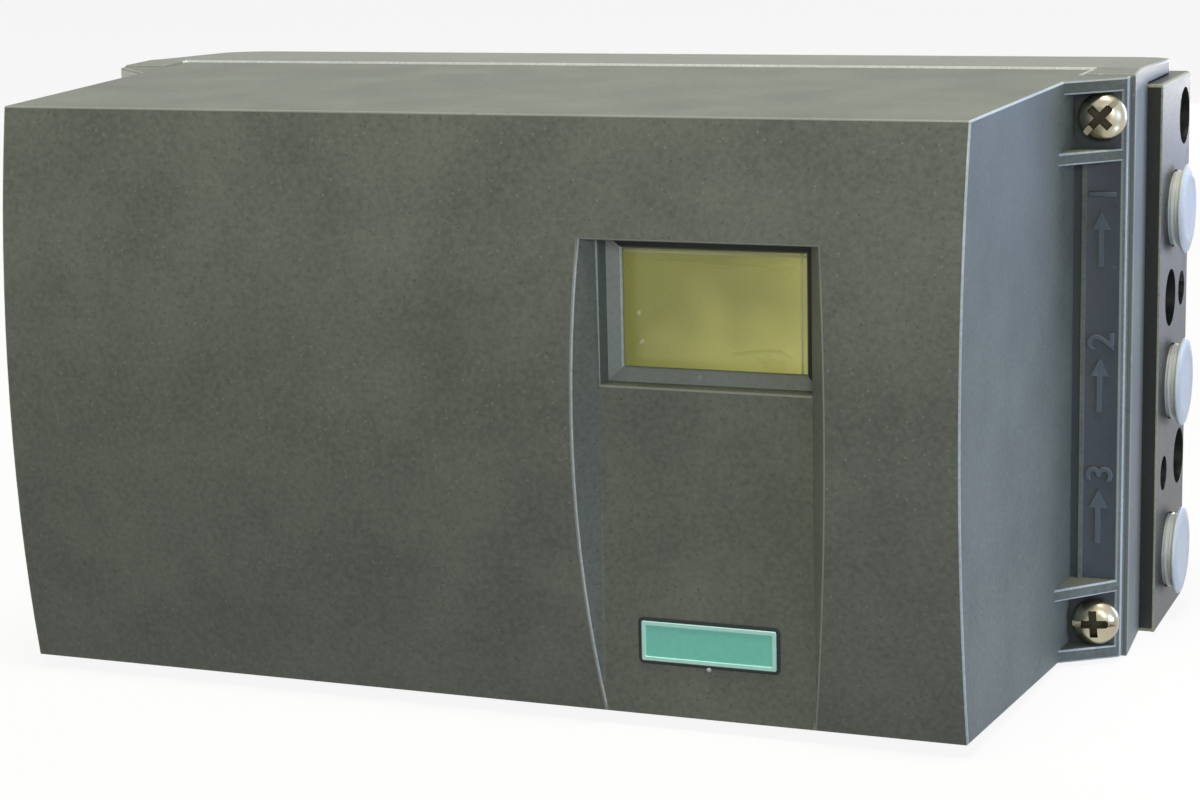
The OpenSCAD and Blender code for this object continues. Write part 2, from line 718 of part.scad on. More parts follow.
// Stepped shaft: a journal inside and a lever end behind the case
module feedback_shaft()
    color("lightgray") difference() {
        union() {
            bar([0, 0, 0], journal_d, -shaft_end);
            bar([0, shaft_l, 0], shaft_d, shaft_l + eps);
        }
        difference() {
            bar([0, clip_y, 0], journal_d + 2, clip_t);
            bar([0, clip_y + eps, 0], journal_d - 1.2, clip_t + 2 * eps);
        }
        translate([0, shaft_l, 0]) rotate([90, 0, 0]) difference() {
            translate([0, 0, -eps]) cylinder(d = shaft_d + 2, h = 1 + eps);
            translate([0, 0, -eps]) cylinder(d1 = shaft_d - 2 - eps, d2 = shaft_d, h = 1 + eps);
        }
    }

// Round sleeve about the shaft axis
module sleeve(y, d, bore, l)
    difference() {
        bar([0, y, 0], d, l);
        bar([0, y + eps, 0], bore, l + 2 * eps);
    }

module shaft_bush()
    color("peru") sleeve(-seal_t, bush_d, journal_d + 2 * run_gap, bush_l);

module shaft_seal()
    color("black") sleeve(-0.2, shaft_seal_d, journal_d + 2 * run_gap, seal_t - 0.2);

// Flank point of an involute tooth: the angle from the tooth's middle at radius r
function involute_angle(r, base) = r <= base ? 0 : (sqrt(pow(r / base, 2) - 1) * 180 / PI - acos(base / r));
function flank_angle(r, teeth, m) =
    let (pitch = m * teeth / 2, base = pitch * cos(20))
    360 / teeth * 0.235 + involute_angle(pitch, base) - involute_angle(r, base);

// Spur gear outline with involute flanks, a tooth on the +X axis
module gear_outline(teeth, m) {
    pitch = m * teeth / 2;
    radii = [pitch - 1.2 * m, pitch - 0.4 * m, pitch + 0.3 * m, pitch + 0.9 * m];
    polygon([for (i = [0:teeth - 1], k = [0:7])
        let (r = radii[k < 4 ? k : 7 - k],
            a = flank_angle(r, teeth, m) * (k < 4 ? -1 : 1) + i * 360 / teeth)
        [r * cos(a), r * sin(a)]]);
}

module drive_gear()
    color("ivory") difference() {
        union() {
            slab(gear_y, gear_t) rotate(180) gear_outline(drive_teeth, gear_m);
            bar([0, gear_y + hub_l, 0], journal_d + 8, hub_l + eps);
        }
        bar([0, 0, 0], journal_d + 2 * run_gap, base_d * 2);
        // Thin web with round lightening holes
        for (y = [gear_y + eps, gear_y - gear_t + 2])
            difference() {
                bar([0, y, 0], gear_m * drive_teeth - 10, 2 + eps);
                bar([0, y + eps, 0], journal_d + 8, 4);
            }
        for (a = [0:60:300])
            rotate([0, a, 0]) bar([(gear_m * drive_teeth + journal_d) / 4, 0, 0], 5, base_d * 2);
    }

// Conical spring washer of the slip clutch
module clutch_spring()
    color("silver") translate([0, gear_y - gear_t, 0]) rotate([90, 0, 0]) rotate_extrude()
        let (r0 = journal_d / 2 + 0.2, r1 = journal_d / 2 + 5)
        polygon([[r0, 0.2], [r1, spring_t - 0.9], [r1, spring_t - 0.1], [r0, 1]]);

// Hand wheel of the slip clutch, with a serrated rim
module adjusting_wheel()
    color("gold") difference() {
        slab(wheel_y, wheel_t)
            difference() {
                circle(d = wheel_d);
                for (a = [0:15:345]) rotate(a) translate([wheel_d / 2 + 0.6, 0]) circle(d = 3);
            }
        bar([0, 0, 0], journal_d + 2 * run_gap, base_d * 2);
        difference() {
            bar([0, wheel_y - wheel_t + 2.5, 0], wheel_d - 8, wheel_t);
            bar([0, wheel_y, 0], journal_d + 7, wheel_t + eps);
        }
    }

module shaft_clip()
    color("gray") difference() {
        sleeve(clip_y, journal_d + 5, journal_d - 1, clip_t);
        span_box([-2, 2], [clip_y - clip_t - eps, clip_y + eps], [0, journal_d]);
    }

// Bridge plate in front of the gears, which carries the potentiometer
module gear_bridge()
    color("lightslategray") at_case() difference() {
        slab(bridge_y, bridge_t)
            let (x0 = -bridge_out[0] - bridge_rim, x1 = bridge_in[0] + bridge_rim,
                z0 = bridge_out[1] + bridge_rim, z1 = bridge_in[1] + bridge_rim)
            translate([pot_x, 0]) polygon([[x0, -z0], [0, -z1], [x1, -z1], [x1, z1], [0, z1], [x0, z0]]);
        bar([pot_x, bridge_y + eps, 0], spindle_d + 5.2, bridge_t + 2 * eps);
        for (p = bridge_at) bar([p[0], bridge_y + eps, p[1]], mid_bore, bridge_t + 2 * eps);
    }

module bridge_screws()
    color("silver") at_case() for (p = bridge_at)
        front_screw([p[0], bridge_y - bridge_t, p[1]], mid_head, mid_head_h, mid_screw,
            bridge_t + mid_thread - 1);

// Rotary potentiometer with its neck through the bridge and three tags
module potentiometer()
    color("#3b5a7a") at_case() difference() {
        union() {
            bar([pot_x, bridge_y - bridge_t, 0], pot_d, pot_l);
            bar([pot_x, bridge_y - bridge_t - pot_l, 0], pot_d - 2, pot_cap);
            bar([pot_x, bridge_y + 1, 0], spindle_d + 5, bridge_t + 1 + eps);
            for (i = [-1, 0, 1])
                span_box([pot_x + i * pot_d / 4 - tag_w / 2, pot_x + i * pot_d / 4 + tag_w / 2],
                    [tag_y - tag_w / 2, tag_y], [0.4 * pot_d, 0.7 * pot_d]);
        }
        bar([pot_x, bridge_y + 1 + eps, 0], spindle_d + 2 * run_gap, bridge_t + 6);
    }

module pot_gear()
    color("ivory") at_case() translate([pot_x, 0, 0]) {
        slab(gear_y - 0.5, gear_t - 1) rotate(180 / pot_teeth) gear_outline(pot_teeth, gear_m);
        bar([0, -base_wall - 4, 0], spindle_d, -(bridge_y - bridge_t - 3) - base_wall - 4);
    }

// Open box for the electronics, with a terminal bay on the left
module electronics_carrier()
    color("#8f969b") at_case() difference() {
        slab(carrier_back, carrier_back - carrier_front)
            stepped_outline(carrier_x0, carrier_x1, carrier_z, step_x, step_z);
        difference() {
            slab(carrier_back - carrier_wall, carrier_back - carrier_front)
                stepped_outline(carrier_x0 + carrier_wall, carrier_x1 - carrier_wall,
                    carrier_z - carrier_wall, step_x - carrier_wall, step_z + carrier_wall);
            // Wall and step of the terminal bay, standoffs of the main board
            span_box([bay_x1, bay_x1 + carrier_wall], [carrier_front, 0], [-carrier_z, carrier_z]);
            span_box([carrier_x0, bay_x1 + eps], [bay_y, 0], [-bay_z, bay_z]);
            for (p = board_at) bar([p[0], 0, p[1]], post_d - 2, -board_y);
            for (p = module_at) bar([p[0], 0, p[1]], post_d - 1, -carrier_front);
        }
        for (p = post_at) bar([p[0], 0, p[1]], mid_bore, -carrier_front);
        for (p = board_at) bar([p[0], carrier_back - carrier_wall, p[1]], small_bore, -board_y);
        for (p = module_at) bar([p[0], carrier_front + small_thread, p[1]], small_bore, small_thread + eps);
    }

module carrier_screws()
    color("silver") at_case() for (p = post_at)
        front_screw([p[0], carrier_back - carrier_wall, p[1]], mid_head, mid_head_h, mid_screw,
            carrier_wall + mid_thread - 1);

// Main board with its taller parts
module main_board()
    color("darkgreen") at_case() {
        x0 = bay_x1 + carrier_wall + 1;
        x1 = step_x - carrier_wall - 1;
        difference() {
            slab(board_y, board_t) translate([x0, -board_z]) square([x1 - x0, 2 * board_z]);
            for (p = board_at) bar([p[0], board_y + eps, p[1]], small_bore, board_t + 2 * eps);
        }
        mid = (x0 + x1) / 2;
        top = board_y - board_t;
        for (z = [-8, 4]) bar([mid - 12, top, z], 8, 11);
        span_box([mid - 2, mid + 14], [top - 3, top], [-9, 7]);
        span_box([mid - 8, mid + 10], [top - 9, top], [11, 18]);
    }

module board_screws()
    color("silver") at_case() for (p = board_at)
        front_screw([p[0], board_y - board_t, p[1]], small_head, small_head_h, small_screw,
            board_t + small_thread);

// Cover plate of the electronics, with holes for the buttons and the display
module module_cover()
    color("#b9bdb8") at_case() difference() {
        union() {
            slab(carrier_front, plate_t) stepped_outline(bay_x1, carrier_x1, carrier_z, step_x, step_z);
            for (x = [-1, 1], z = [button_z + 6, window_top])
                bar([recess_x + x * (display_w / 2 - 2), display_y, z], 4, 4 + eps);
        }
        for (x = button_xs)
            bar([x, carrier_front + eps, button_z], button_d + 2 * move_gap, plate_t + 2 * eps);
        slab(carrier_front + eps, plate_t + 2 * eps) translate([recess_x, window_z])
            square([18, 8], center = true);
        for (p = module_at) bar([p[0], carrier_front + eps, p[1]], small_bore, plate_t + 2 * eps);
    }

module module_screws()
    color("silver") at_case() for (p = module_at)
        front_screw([p[0], module_y, p[1]], small_head, small_head_h, small_screw,
            plate_t + small_thread - 1);

// Small board behind the display with a key switch under each button
module display_board()
    color("darkgreen") at_case() {
        slab(display_y + board_t, board_t) translate([recess_x - display_w / 2, board_low])
            square([display_w, window_top + 2 - board_low]);
        for (x = button_xs)
            span_box([x - 2.5, x + 2.5], [switch_y, display_y], [button_z - 2.5, button_z + 2.5]);
        slab(display_y, display_y - module_y) translate([recess_x, window_z])
            square([14, 5], center = true);
    }

// Button cap with a collar behind the module cover
module button(x)
    color("#d8c64a") at_case() {
        bar([x, button_rear, button_z], button_d, button_rear - module_y + 2.2);
        bar([x, button_rear, button_z], button_d + 1.8, button_rear - carrier_front - move_gap);
    }

module button_left() button(button_xs[0]);
module button_middle() button(button_xs[1]);
module button_right() button(button_xs[2]);

module display_frame()
    color("#4a4d48") at_case() difference() {
        slab(module_y, lcd_t - 0.2) translate([recess_x, window_z]) square([lcd_w, lcd_h], center = true);
        slab(lcd_y + glass_t, glass_t + eps) translate([recess_x, window_z])
            square([glass_w + 2 * fit_gap, glass_h + 2 * fit_gap], center = true);
        slab(module_y + eps, lcd_t) translate([recess_x, window_z]) square([15, 6], center = true);
    }

module display_glass()
    color("#93945a") at_case() slab(lcd_y + glass_t, glass_t) translate([recess_x, window_z])
        square([glass_w, glass_h], center = true);

// Row of clamp terminals: a screw well and a wire funnel for each pole
module terminal_block(s)
    color("#5c7f5e") at_case() difference() {
        pitch = (term_z - 1) / term_poles;
        x0 = carrier_x0 + carrier_wall + 1;
        span_box([x0, bay_x1 - 1], [bay_y - term_t, bay_y], [s > 0 ? 1 : -term_z, s > 0 ? term_z : -1]);
        span_box([x0 - eps, x0 + bay_w / 3], [bay_y - term_t - eps, bay_y - term_t + term_lip],
            [-carrier_z, carrier_z]);
        for (i = [0:term_poles - 1]) {
            z = s * (1 + pitch * (i + 0.5));
            bar([bay_x1 - term_well, bay_y - term_t / 3, z], 0.75 * pitch, term_t);
            span_box([x0 - eps, x0 + 0.4 * bay_w], [bay_y - 2 * term_mouth, bay_y - term_mouth],
                [z - 0.3 * pitch, z + 0.3 * pitch]);
        }
    }

module terminal_block_upper() terminal_block(1);
module terminal_block_lower() terminal_block(-1);

// Hexagonal bar from a point to the left
module hex_bar(p, af, l) translate(p) rotate([0, -90, 0]) cylinder(d = af / cos(30), h = l, $fn = 6);

module gland_body()
    color("#2b2d30") at_case() difference() {
        union() {
            cross_bar([gland_x, entry_y, gland_z], entry_d - 2 * fit_gap, left_wall - 2);
            hex_bar([gland_x, entry_y, gland_z], gland_af, gland_hex);
            cross_bar([stub_x, entry_y, gland_z], entry_d - 2, gland_stub + eps);
        }
        cross_bar([stub_x - eps, entry_y, gland_z], cable_d + 2, left_wall + gland_hex + 20);
        cross_bar([stub_x - eps, entry_y, gland_z], cable_d + 5.2, gland_stub + eps);
    }

module gland_seal()
    color("black") at_case() difference() {
        cross_bar([stub_x - 3, entry_y, gland_z], cable_d + 5, gland_stub + 3);
        cross_bar([stub_x - 3 - eps, entry_y, gland_z], cable_d, gland_stub + 3 + 2 * eps);
    }

// Cap nut with a round shoulder
module gland_nut()
    color("#2b2d30") at_case() difference() {
        union() {
            hex_bar([gland_x - gland_hex - 0.5, entry_y, gland_z], gland_af, gland_stub);
            translate([stub_x, entry_y, gland_z]) rotate([0, -90, 0])
                cylinder(d1 = gland_af - 1, d2 = gland_af - 5, h = 5);
        }
        cross_bar([stub_x - 3, entry_y, gland_z], entry_d - 2 + 2 * fit_gap, gland_stub + 4);
        cross_bar([stub_x - 9, entry_y, gland_z], cable_d + 3, 10);
    }

module blanking_plug()
    color("#2b2d30") at_case() difference() {
        union() {
            cross_bar([gland_x - 1, entry_y, plug_z], entry_d - 2 * fit_gap, left_wall - 3);
            hex_bar([gland_x - 1, entry_y, plug_z], gland_af, 4);
        }
        translate([gland_x - 5 - eps, entry_y - 1.1, plug_z - 7]) cube([2 + eps, 2.2, 14]);
        cross_bar([gland_x + 3, entry_y, plug_z], entry_d - 6, left_wall);
    }

module blanking_seal()
    color("black") at_case() difference() {
        cross_bar([gland_x - 1, entry_y, plug_z], gland_af - 0.6, 1);
        cross_bar([gland_x - 2, entry_y, plug_z], entry_d, 3);
    }

// Saddle clamp for the earth conductor
module earth_clamp()
    color("silver") at_case() difference() {
        span_box([gland_x - clamp_t, gland_x], [entry_y - 5, entry_y + 5], [-5, 5]);
        cross_bar([gland_x - clamp_t - eps, entry_y, 0], large_bore, clamp_t + 2 * eps);
        span_box([gland_x - 0.6, gland_x + eps], [entry_y - 6, entry_y + 6], [3.2, 5 - 0.6]);
    }

module earth_screw()
    color("silver") at_case() translate([gland_x - clamp_t, entry_y, 0]) rotate([0, -90, 0])
        pan_screw(large_head, large_head_h, large_screw, clamp_t + large_thread - 1);

base_housing();
mounting_inserts();
front_cover();
cover_gasket();
cover_screws();
window_pane();
pneumatic_block();
block_screws();
port_plug_upper();
port_plug_middle();
port_plug_lower();
exhaust_silencer();
valve_manifold();
manifold_screws();
pilot_valve_upper();
pilot_valve_lower();
restrictor_upper();
restrictor_lower();
purge_selector();
feedback_shaft();
shaft_bush();
shaft_seal();
drive_gear();
clutch_spring();
adjusting_wheel();
shaft_clip();
gear_bridge();
bridge_screws();
potentiometer();
pot_gear();
electronics_carrier();
carrier_screws();
main_board();
board_screws();
module_cover();
module_screws();
display_board();
display_frame();
display_glass();
button_left();
button_middle();
button_right();
terminal_block_upper();
terminal_block_lower();
gland_body();
gland_seal();
gland_nut();
blanking_plug();
blanking_seal();
earth_clamp();
earth_screw();
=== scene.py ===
import math
import bpy
import bmesh
from mathutils import Matrix, Vector


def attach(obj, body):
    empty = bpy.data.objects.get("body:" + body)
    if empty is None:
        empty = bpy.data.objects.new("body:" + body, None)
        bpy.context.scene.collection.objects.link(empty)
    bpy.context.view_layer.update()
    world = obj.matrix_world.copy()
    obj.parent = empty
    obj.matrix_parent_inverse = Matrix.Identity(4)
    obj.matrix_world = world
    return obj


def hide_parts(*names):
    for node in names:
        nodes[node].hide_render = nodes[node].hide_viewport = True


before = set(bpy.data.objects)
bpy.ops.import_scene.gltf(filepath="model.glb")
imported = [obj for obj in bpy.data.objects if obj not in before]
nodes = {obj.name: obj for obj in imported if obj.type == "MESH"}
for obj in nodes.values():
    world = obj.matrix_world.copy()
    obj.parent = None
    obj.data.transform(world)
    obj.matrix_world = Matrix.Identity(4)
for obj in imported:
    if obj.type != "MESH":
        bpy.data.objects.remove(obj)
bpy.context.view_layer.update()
scene = bpy.context.scene
scene.view_settings.view_transform = "Standard"
print("frame loaded:", len(nodes), "nodes")

mm = 0.001
caseX = -30  # middle of the case in the part's frame, mm


def srgb(code):
    # sRGB hex to the linear values that the shaders take
    parts = [int(code[i:i + 2], 16) / 255 for i in (1, 3, 5)]
    return tuple(c / 12.92 if c <= 0.04045 else ((c + 0.055) / 1.055) ** 2.4 for c in parts) + (1.0,)


def shade(code, gain):
    # the same hue, lighter or darker
    return tuple(min(1.0, c * gain) for c in srgb(code)[:3]) + (1.0,)


def perMm(size):
    # texture scale for a pattern whose cells are this many millimetres wide
    return 1 / (size * mm)


def addNode(tree, kind, settings=None, links=None):
    node = tree.nodes.new(kind)
    for key, value in (settings or {}).items():
        setattr(node, key, value)
    for key, value in (links or {}).items():
        if isinstance(value, bpy.types.NodeSocket):
            tree.links.new(value, node.inputs[key])
        else:
            node.inputs[key].default_value = value
    return node


# camera: the lens and the stand point of the photograph, on 36 mm film, 1200 x 800
cameraSettings = {"lens": 82.51, "place": (144.75, -483.40, 86.27), "yaw": -21.659, "pitch": 11.447, "roll": -1.335}


def makeCamera(s):
    yaw, pitch, roll = (math.radians(s[k]) for k in ("yaw", "pitch", "roll"))
    ahead = Vector((math.sin(yaw) * math.cos(pitch), math.cos(yaw) * math.cos(pitch), -math.sin(pitch)))
    side = Vector((math.cos(yaw), -math.sin(yaw), 0))
    lift = side.cross(ahead)
    right = math.cos(roll) * side + math.sin(roll) * lift
    up = math.cos(roll) * lift - math.sin(roll) * side
    data = bpy.data.cameras.new("camera")
    data.lens, data.sensor_width, data.sensor_fit = s["lens"], 36, "HORIZONTAL"
    data.clip_start, data.clip_end = 0.01, 50
    camera = bpy.data.objects.new("camera", data)
    scene.collection.objects.link(camera)
    rows = [(right[i], up[i], -ahead[i], s["place"][i] * mm) for i in range(3)]
    camera.matrix_world = Matrix(rows + [(0, 0, 0, 1)])
    scene.camera = camera


makeCamera(cameraSettings)
print("camera set")

# studio: a steep lamp above, a weak one in front, cool light from the right, from its foot and from a window behind it,
# and two low lamps for the back and the left, which leave the top as it is
lampSettings = {
    "above": {"place": (60, -240, 1100), "aim": (-20, -70, 0), "size": (380, 300), "watts": 10.6, "colour": "#fff9e6"},
    "front": {"place": (330, -900, 260), "aim": (-20, -90, 0), "size": (260, 200), "watts": 2.0, "colour": "#fffbe9"},
    "sky": {"place": (620, -400, 20), "aim": (20, -80, -10), "size": (380, 380), "watts": 1.45, "colour": "#9cc0ff"},
    "window": {"place": (360, 400, 40), "aim": (40, -60, 0), "size": (300, 420), "watts": 1.4, "colour": "#a9c8ff"},
    "low": {"place": (140, -86, -37), "aim": (50, -82, -42), "size": (60, 16), "watts": 0.034, "colour": "#b4d0ff"},
    "back": {"place": (-150, 900, 0), "aim": (-30, 0, 0), "size": (700, 76), "watts": 5.0, "colour": "#fff9ee"},
    "left": {"place": (-900, 0, 0), "aim": (-120, -50, 0), "size": (700, 76), "watts": 2.8, "colour": "#fff9ee"},
}


def makeLamps(settings):
    for name, s in settings.items():
        data = bpy.data.lights.new(name, "AREA")
        data.shape, data.size, data.size_y = "RECTANGLE", s["size"][0] * mm, s["size"][1] * mm
        data.energy, data.color = s["watts"], srgb(s["colour"])[:3]
        lamp = bpy.data.objects.new(name, data)
        scene.collection.objects.link(lamp)
        lamp.location = Vector(s["place"]) * mm
        lamp.visible_camera = False
        lamp.rotation_mode = "QUATERNION"
        lamp.rotation_quaternion = (Vector(s["aim"]) - Vector(s["place"])).to_track_quat("-Z", "Y")


makeLamps(lampSettings)

floorSettings = {"height": -48.6, "half": 3000, "white": 0.9, "bounce": "#7c7c78", "sky": "#c9cfd0", "ambient": 0.2}


def seenDirectly(tree):
    # one for rays that come from the camera, a mirror or a glass
    path = addNode(tree, "ShaderNodeLightPath")
    first = addNode(tree, "ShaderNodeMath", {"operation": "MAXIMUM"},
                    {0: path.outputs["Is Camera Ray"], 1: path.outputs["Is Glossy Ray"]})
    both = addNode(tree, "ShaderNodeMath", {"operation": "MAXIMUM"},
                   {0: first.outputs[0], 1: path.outputs["Is Transmission Ray"]})
    return both.outputs[0]


def makeFloor(s):
    half, z = s["half"] * mm, s["height"] * mm
    mesh = bpy.data.meshes.new("floor")
    mesh.from_pydata([(-half, -half, z), (half, -half, z), (half, half, z), (-half, half, z)], [], [(0, 1, 2, 3)])
    floor = bpy.data.objects.new("floor", mesh)
    scene.collection.objects.link(floor)
    # matt white paper sweep: white to the eye, and it holds a soft shadow
    material = bpy.data.materials.new("paperSweep")
    material.use_nodes = True
    tree = material.node_tree
    tree.nodes.clear()
    paper = addNode(tree, "ShaderNodeBsdfDiffuse", None, {"Color": srgb("#f4f4f2")})
    glow = addNode(tree, "ShaderNodeEmission", None, {"Color": srgb("#ffffff"), "Strength": 1.0})
    bounce = addNode(tree, "ShaderNodeBsdfDiffuse", None, {"Color": srgb(s["bounce"])})
    shown = addNode(tree, "ShaderNodeMixShader", None, {0: s["white"], 1: paper.outputs[0], 2: glow.outputs[0]})
    pick = addNode(tree, "ShaderNodeMixShader", None,
                   {0: seenDirectly(tree), 1: bounce.outputs[0], 2: shown.outputs[0]})
    addNode(tree, "ShaderNodeOutputMaterial", None, {"Surface": pick.outputs[0]})
    mesh.materials.append(material)
    world = bpy.data.worlds.new("studio")
    scene.world = world
    world.use_nodes = True
    tree = world.node_tree
    tree.nodes.clear()
    soft = addNode(tree, "ShaderNodeBackground", None, {"Color": srgb(s["sky"]), "Strength": s["ambient"]})
    white = addNode(tree, "ShaderNodeBackground", None, {"Color": srgb("#ffffff"), "Strength": 1.0})
    pick = addNode(tree, "ShaderNodeMixShader", None,
                   {0: seenDirectly(tree), 1: soft.outputs[0], 2: white.outputs[0]})
    addNode(tree, "ShaderNodeOutputWorld", None, {"Surface": pick.outputs[0]})


makeFloor(floorSettings)
print("studio set")


def startMaterial(name, colour, **sockets):
    # a Principled material with its constants set, and its Object coordinates
    material = bpy.data.materials.new(name)
    material.use_nodes = True
    tree = material.node_tree
    shader = tree.nodes["Principled BSDF"]
    shader.inputs["Base Color"].default_value = srgb(colour)
    for key, value in sockets.items():
        shader.inputs[key.replace("_", " ")].default_value = value
    where = addNode(tree, "ShaderNodeTexCoord").outputs["Object"]
    return material, tree, shader, where


def noise(tree, where, size, detail=2.0, rough=0.5):
    # soft noise whose patches are about this many millimetres wide
    links = {"Vector": where, "Scale": perMm(size), "Detail": detail, "Roughness": rough}
    return addNode(tree, "ShaderNodeTexNoise", None, links).outputs["Fac"]


def toneRamp(tree, shader, value, low, high):
    # colours a surface between two stops, each a position and a colour
    ramp = addNode(tree, "ShaderNodeValToRGB", None, {"Fac": value})
    for stop, (position, colour) in zip(ramp.color_ramp.elements, (low, high)):
        stop.position, stop.color = position, colour
    tree.links.new(ramp.outputs["Color"], shader.inputs["Base Color"])
    return ramp.outputs["Color"]


def varyRough(tree, shader, value, low, high):
    sheen = addNode(tree, "ShaderNodeMapRange", None, {"Value": value, "To Min": low, "To Max": high})
    tree.links.new(sheen.outputs[0], shader.inputs["Roughness"])


def raiseGrain(tree, shader, height, strength, depth):
    # depth in mm
    bump = addNode(tree, "ShaderNodeBump", None, {"Height": height, "Strength": strength, "Distance": depth * mm})
    tree.links.new(bump.outputs[0], shader.inputs["Normal"])


def calculate(tree, operation, first, second):
    return addNode(tree, "ShaderNodeMath", {"operation": operation}, {0: first, 1: second}).outputs[0]


def mouldedPlastic(name, s):
    # moulded thermoplastic: a spark-eroded grain, faint flow clouds and a few pigment specks
    material, tree, shader, where = startMaterial(name, s["colour"], Roughness=s["rough"], IOR=1.58,
                                                  Specular_IOR_Level=s.get("specular", 0.4))
    grain = noise(tree, where, s["grain"], 3.0, 0.6)
    cloud = noise(tree, where, 14, 3.0)
    blend = addNode(tree, "ShaderNodeMix", {"data_type": "FLOAT"}, {0: 0.45, 2: grain, 3: cloud})
    tone = toneRamp(tree, shader, blend.outputs[0], (0.3, shade(s["colour"], 1 - s["depth"])),
                    (0.7, shade(s["colour"], 1 + s["depth"])))
    speck = addNode(tree, "ShaderNodeTexVoronoi", None, {"Vector": where, "Scale": perMm(s["speckGap"])})
    spot = addNode(tree, "ShaderNodeMapRange", None, {"Value": speck.outputs["Distance"], "From Min": 0.09,
                                                      "From Max": 0.2, "To Min": 1.0, "To Max": 0.0})
    # each speck draws its own chance to show and its own pigment, dark or light
    draw = addNode(tree, "ShaderNodeSeparateColor", None, {0: speck.outputs["Color"]})
    chosen = calculate(tree, "LESS_THAN", draw.outputs[0], s["speckShare"])
    there = calculate(tree, "MULTIPLY", spot.outputs[0], chosen)
    pigment = addNode(tree, "ShaderNodeMix", {"data_type": "RGBA"},
                      {0: calculate(tree, "GREATER_THAN", draw.outputs[1], 0.6), 6: shade(s["colour"], 0.6),
                       7: shade(s["colour"], 1.6)})
    colour = addNode(tree, "ShaderNodeMix", {"data_type": "RGBA"},
                     {0: calculate(tree, "MULTIPLY", there, 0.8), 6: tone, 7: pigment.outputs[2]})
    tree.links.new(colour.outputs[2], shader.inputs["Base Color"])
    varyRough(tree, shader, grain, s["rough"] - 0.08, s["rough"] + 0.08)
    raiseGrain(tree, shader, grain, s["bump"], 0.06)
    return material


def machinedMetal(name, s):
    # machined or plated metal: fine tool lines along one axis, with a faint tarnish in patches
    material, tree, shader, where = startMaterial(name, s["colour"], Roughness=s["rough"], Metallic=1.0)
    stretch = addNode(tree, "ShaderNodeMapping", None, {"Vector": where, "Scale": s["lines"]})
    tarnish = noise(tree, where, 6, 3.0)
    toneRamp(tree, shader, tarnish, (0.3, shade(s["colour"], 0.78)), (0.65, shade(s["colour"], 1.06)))
    varyRough(tree, shader, tarnish, s["rough"] - 0.06, s["rough"] + 0.1)
    raiseGrain(tree, shader, noise(tree, stretch.outputs[0], s["gap"]), s["bump"], 0.03)
    return material


